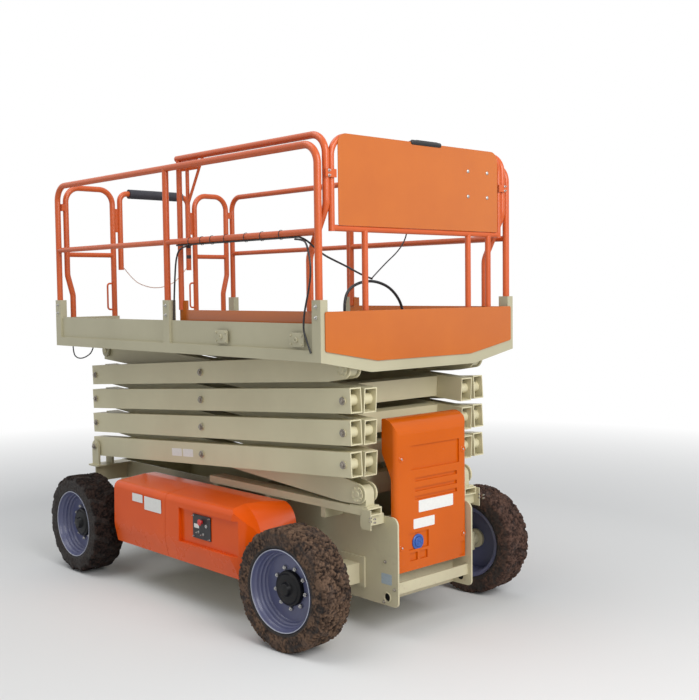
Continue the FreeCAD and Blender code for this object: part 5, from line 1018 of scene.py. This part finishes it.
weld = welded_ring(HOOK_RADIUS + RING_GAP, RING_WIRE)
# Painted shade: a black disc set inside each hook hole for its shadowed depth.
shade_disc = turned_form([(HOOK_RADIUS, 0.0), (HOOK_RADIUS, 0.0010)], 32)
for tag, side in SIDES:
    out = (0, side, 0)
    hook, disc = [[(HOOK_X, side * face, HOOK_Z)] for face in (PLATE_FACE, PLATE_FACE - HOOK_SHADE_DEPTH)]
    fitted("hook_ring_" + tag, weld, hook, out, "chassis", CREAM, 180)
    fitted("hook_dark_" + tag, shade_disc, disc, out, "chassis", HUB_BLACK)
    places = [(x, side * PLATE_FACE, z) for x, z in PLATE_BOLTS]
    fitted("plate_bolts_" + tag, pin_end(0.0095), places, out, "chassis", STEEL, 30)
PALE_BLUE = plain("decal_blue", (0.42, 0.50, 0.55), 0.45, grain=220.0, spread=0.25)
decal = rounded_plate(0.085, 0.062, 0.0006, 0.006)
fitted("plate_decal", decal, [(1.443, -PLATE_FACE, 0.350)], (0, -1, 0), "chassis", PALE_BLUE)
for tag, side in SIDES:
    face = outer_face(STOP_X, STOP_Z, STOP_REACH, ("slide_tracks", "chassis_frame"))
    places = [(STOP_X + dx, side * face, STOP_Z + dz) for dx in (-STOP_STEP_X, STOP_STEP_X)
              for dz in (-STOP_STEP_Z, STOP_STEP_Z)]
    fitted("stop_bolts_" + tag, pin_end(0.0062), places, (0, side, 0), "chassis", STEEL, 30)
    print(tag, "stop bolts on", round(face, 4))

# %% [markdown]
# ## Ground controls
# The ground panel sits in the cover's recess: a red mushroom stop, a key
# switch, two toggles and a small pale display on a black plate. Its pieces
# share one face, so a table of forms and places holds them all.

# %% Ground panel
PANEL_FACE = -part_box("ground_panel")[0].y
mushroom = turned_form([(0.0120, -0.001), (0.0120, 0.0080), (0.0105, 0.0090), (0.0105, 0.0130), (0.0190, 0.0150),
                        (0.0205, 0.0180), (0.0190, 0.0215), (0.0130, 0.0240), (0.0040, 0.0248)], 32)
toggle = joined_forms([
    turned_form([(0.0085, -0.001), (0.0085, 0.0035), (0.0070, 0.0045)], 6),
    turned_form([(0.0042, 0.0040), (0.0034, 0.0110), (0.0040, 0.0200), (0.0032, 0.0220)], 14),
])
key = turned_form([(0.0110, -0.001), (0.0110, 0.0050), (0.0095, 0.0060), (0.0060, 0.0060), (0.0050, 0.0030)], 24)
PANEL_PIECES = (
    # name, form, places along and up, slot, finish, shaded smooth below
    ("ground_stop", mushroom, [(0.303, 0.580)], "dark_steel", SIGNAL_RED, 40),
    ("ground_toggles", toggle, [(0.268, 0.512), (0.318, 0.503)], "dark_steel", ZINC, 40),
    ("ground_key_switch", key, [(0.352, 0.560)], "dark_steel", ZINC, 40),
    ("ground_display", rounded_plate(0.052, 0.026, 0.0025, 0.004), [(0.246, 0.548)], "black_moulding",
     LABEL_WHITE, None),
    ("ground_screws", pin_end(0.0045), [(x, z) for x in (0.215, 0.385) for z in (0.480, 0.610)], "dark_steel",
     ZINC, None),
)
for name, form, spots, slot, finish, smooth in PANEL_PIECES:
    places = [(x, -PANEL_FACE, z) for x, z in spots]
    fitted(name, form, places, (0, -1, 0), "chassis", finish, smooth)
print("ground panel face at", round(PANEL_FACE, 4))

# %% [markdown]
# ## End cover
# The moulded cover at the steered end is held by four quarter-turn fasteners
# in shallow dishes and has a blue inlet for the charger.

# %% End cover fasteners and inlet
COVER_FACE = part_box("end_cover")[1].x
INLET_DEPTH, INLET_Y, INLET_Z = 0.010, -0.122, 0.543
dish = joined_forms([
    turned_form([(0.0210, -0.0010), (0.0210, 0.0012), (0.0190, 0.0028), (0.0150, 0.0028), (0.0125, 0.0008)], 32),
    turned_form([(0.0085, -0.0005), (0.0085, 0.0030), (0.0068, 0.0042)], 16),
])
screw = turned_form([(0.0060, 0.0020), (0.0060, 0.0052), (0.0048, 0.0060)], 6)
contact = turned_form([(0.0045, 0.0100), (0.0045, 0.0150), (0.0035, 0.0160)], 12)
inlet = joined_forms([
    turned_form([(0.0460, 0.0), (0.0460, 0.0060), (0.0420, 0.0085), (0.0330, 0.0085), (0.0310, 0.0040)], 36),
    turned_form([(0.0290, 0.0010), (0.0290, 0.0100), (0.0260, 0.0120)], 36),
    placed_copies(contact, [(0.013, 0.0, 0.0), (-0.0065, 0.0113, 0.0), (-0.0065, -0.0113, 0.0)], [(0, 0, 1)]),
])
places = [(COVER_FACE, y, z) for y in (-0.262, 0.272) for z in (1.045, 0.530)]
socket = [(COVER_FACE - INLET_DEPTH, INLET_Y, INLET_Z)]
fitted("cover_fasteners", dish, places, (1, 0, 0), "chassis", MOULDING_PAINTED_SHADE, 30)
fitted("cover_screws", screw, places, (1, 0, 0), "chassis", ZINC)
fitted("charger_inlet", inlet, socket, (1, 0, 0), "chassis", PLUG_BLUE, 30)
print("end cover face at", round(COVER_FACE, 4))

# %% [markdown]
# ## Guard sheet, grip and clamps
# Four carriage bolts hold the manual box to the guard sheet. A black grip is
# pushed over the sheet's top edge, and plated bolts hold the rail clamps.

# %% Guard sheet fittings
SHEET_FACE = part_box("guard_sheet")[1].x
GRIP_END, GRIP_RINGS, GRIP_SIDES = 0.012, 6, 24
CLAMP_SEARCH_Y, CLAMP_SEARCH_Z, CLAMP_Y, CLAMP_STEP = 0.73, 2.60, 0.7440, 0.013


def grip_form(low, high, centre_x, centre_z, radius_x, radius_z):
    """A soft bar along Y: an oval section that swells from closed ends over the first few millimetres."""
    ease = GRIP_END * np.linspace(0, 1, GRIP_RINGS) ** 2
    along = np.concatenate([low + ease, high - ease[::-1]])
    swell = np.sqrt(np.clip(1 - (1 - np.minimum(along - low, high - along) / GRIP_END) ** 2, 0.02, 1))
    angle = np.linspace(0, 2 * np.pi, GRIP_SIDES, endpoint=False)
    points = np.stack([
        centre_x + radius_x * swell[:, None] * np.cos(angle),
        np.broadcast_to(along[:, None], (len(along), GRIP_SIDES)),
        centre_z - radius_z * swell[:, None] * np.sin(angle),
    ], axis=-1)
    faces = grid_faces(len(along), GRIP_SIDES, close_columns=True)
    last = (len(along) - 1) * GRIP_SIDES
    faces.append(list(range(GRIP_SIDES))[::-1])
    faces.append(list(range(last, last + GRIP_SIDES)))
    return points.reshape(-1, 3), faces


bolt = turned_form([(0.0115, -0.0005), (0.0110, 0.0030), (0.0085, 0.0055), (0.0040, 0.0068)], 20)
places = [(SHEET_FACE, y, z) for y in (0.395, 0.575) for z in (2.576, 2.728)]
fitted("sheet_bolts", bolt, places, (1, 0, 0), "extension", ZINC, 50)
guard_points = node_points["guard_frame"]
clamps = (np.abs(guard_points[:, 1]) > CLAMP_SEARCH_Y) & (guard_points[:, 2] > CLAMP_SEARCH_Z)
clamp_points = guard_points[clamps]
CLAMP_FACE = float(clamp_points[:, 0].max())
CLAMP_MIDDLE = float(clamp_points[:, 2].min() + clamp_points[:, 2].max()) / 2
places = [(CLAMP_FACE, side * CLAMP_Y, CLAMP_MIDDLE + step) for side in (-1, 1)
          for step in (-CLAMP_STEP, CLAMP_STEP)]
fitted("guard_clamp_bolts", pin_end(0.0085), places, (1, 0, 0), "extension", ZINC, 30)
grip = grip_form(-0.105, 0.153, SHEET_FACE - 0.002, 2.8615, 0.012, 0.0145)
make_piece("sheet_grip", grip, "extension", BLACK_PLASTIC, smooth_below=60)
print("guard sheet face at", round(SHEET_FACE, 4), "clamps at", round(CLAMP_FACE, 4), round(CLAMP_MIDDLE, 4))

# %% [markdown]
# ## Cable ties and the deck's latch
# The rail cable is strapped under the middle rail at seven places. The
# roll-out deck's latch lever has a black sleeve.

# %% Ties and lever sleeve
TIES = (0.219, 0.345, 0.450, 0.592, 0.788, 0.939, 1.110)
TIE_HALF_Y, TIE_HALF_Z, TIE_HALF_WIDTH, TIE_THICKEN = 0.0188, 0.0258, 0.0025, 1.075
TIE_HEIGHT, TIE_SIDES = 2.3262, 28


def tie_form(places):
    """Thin bands round the rail and its cable: an oval in YZ, 5 mm wide along X, one ring of faces thick."""
    angle = np.linspace(0, 2 * np.pi, TIE_SIDES, endpoint=False)
    inner = np.stack([TIE_HALF_Y * np.cos(angle), TIE_HALF_Z * np.sin(angle)], axis=1)
    edges = ((-1, 1), (-1, TIE_THICKEN), (1, TIE_THICKEN), (1, 1))
    rings = [np.column_stack([np.full(TIE_SIDES, end * TIE_HALF_WIDTH), inner * size + [RAIL_LINE, TIE_HEIGHT]])
             for end, size in edges]
    one = np.concatenate(rings)
    faces = grid_faces(len(edges), TIE_SIDES, True, True)
    return joined_forms([(one + [place, 0, 0], faces) for place in places])


make_piece("cable_ties", tie_form(TIES), "platform", BLACK_PLASTIC)
sleeve = turned_form([(0.0122, 0.004), (0.0150, 0.0045), (0.0155, 0.010), (0.0145, 0.050), (0.0155, 0.086),
                      (0.0150, 0.090), (0.0122, 0.0905)], 24)
lever = [(0.122, -0.745, 2.2185)]
fitted("latch_sleeve", sleeve, lever, (0, 0, 1), "extension", BLACK_PLASTIC, 40)
print("ties:", len(TIES))

# %% [markdown]
# ## Control box on the guard frame
# The operator's box hangs behind the guard sheet with its face to the deck:
# a joystick in a rubber boot, a red stop and a row of toggles.

# %% Operator's controls
BOX_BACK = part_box("control_box")[0].x
boot = turned_form([(0.0260, -0.001), (0.0260, 0.004), (0.0200, 0.010), (0.0215, 0.013), (0.0150, 0.018),
                    (0.0160, 0.021), (0.0085, 0.026), (0.0075, 0.040), (0.0120, 0.046), (0.0130, 0.060),
                    (0.0105, 0.068), (0.0040, 0.071)], 32)
BOX_PIECES = (
    # name, form, places across and up, slot, finish, shaded smooth below
    ("joystick", boot, [(0.100, 2.765)], "black_moulding", BLACK_PLASTIC, 50),
    ("deck_stop", mushroom, [(-0.045, 2.790)], "dark_steel", SIGNAL_RED, 40),
    ("deck_toggles", toggle, [(-0.055, 2.705), (-0.010, 2.705), (0.035, 2.705)], "dark_steel", ZINC, 40),
    ("deck_box_plate", rounded_plate(0.225, 0.160, 0.0015, 0.010), [(0.0325, 2.745)], "black_moulding",
     DARK, None),
)
for name, form, spots, slot, finish, smooth in BOX_PIECES:
    places = [(BOX_BACK, y, z) for y, z in spots]
    fitted(name, form, places, (-1, 0, 0), "extension", finish, smooth)
print("control box back at", round(BOX_BACK, 4))
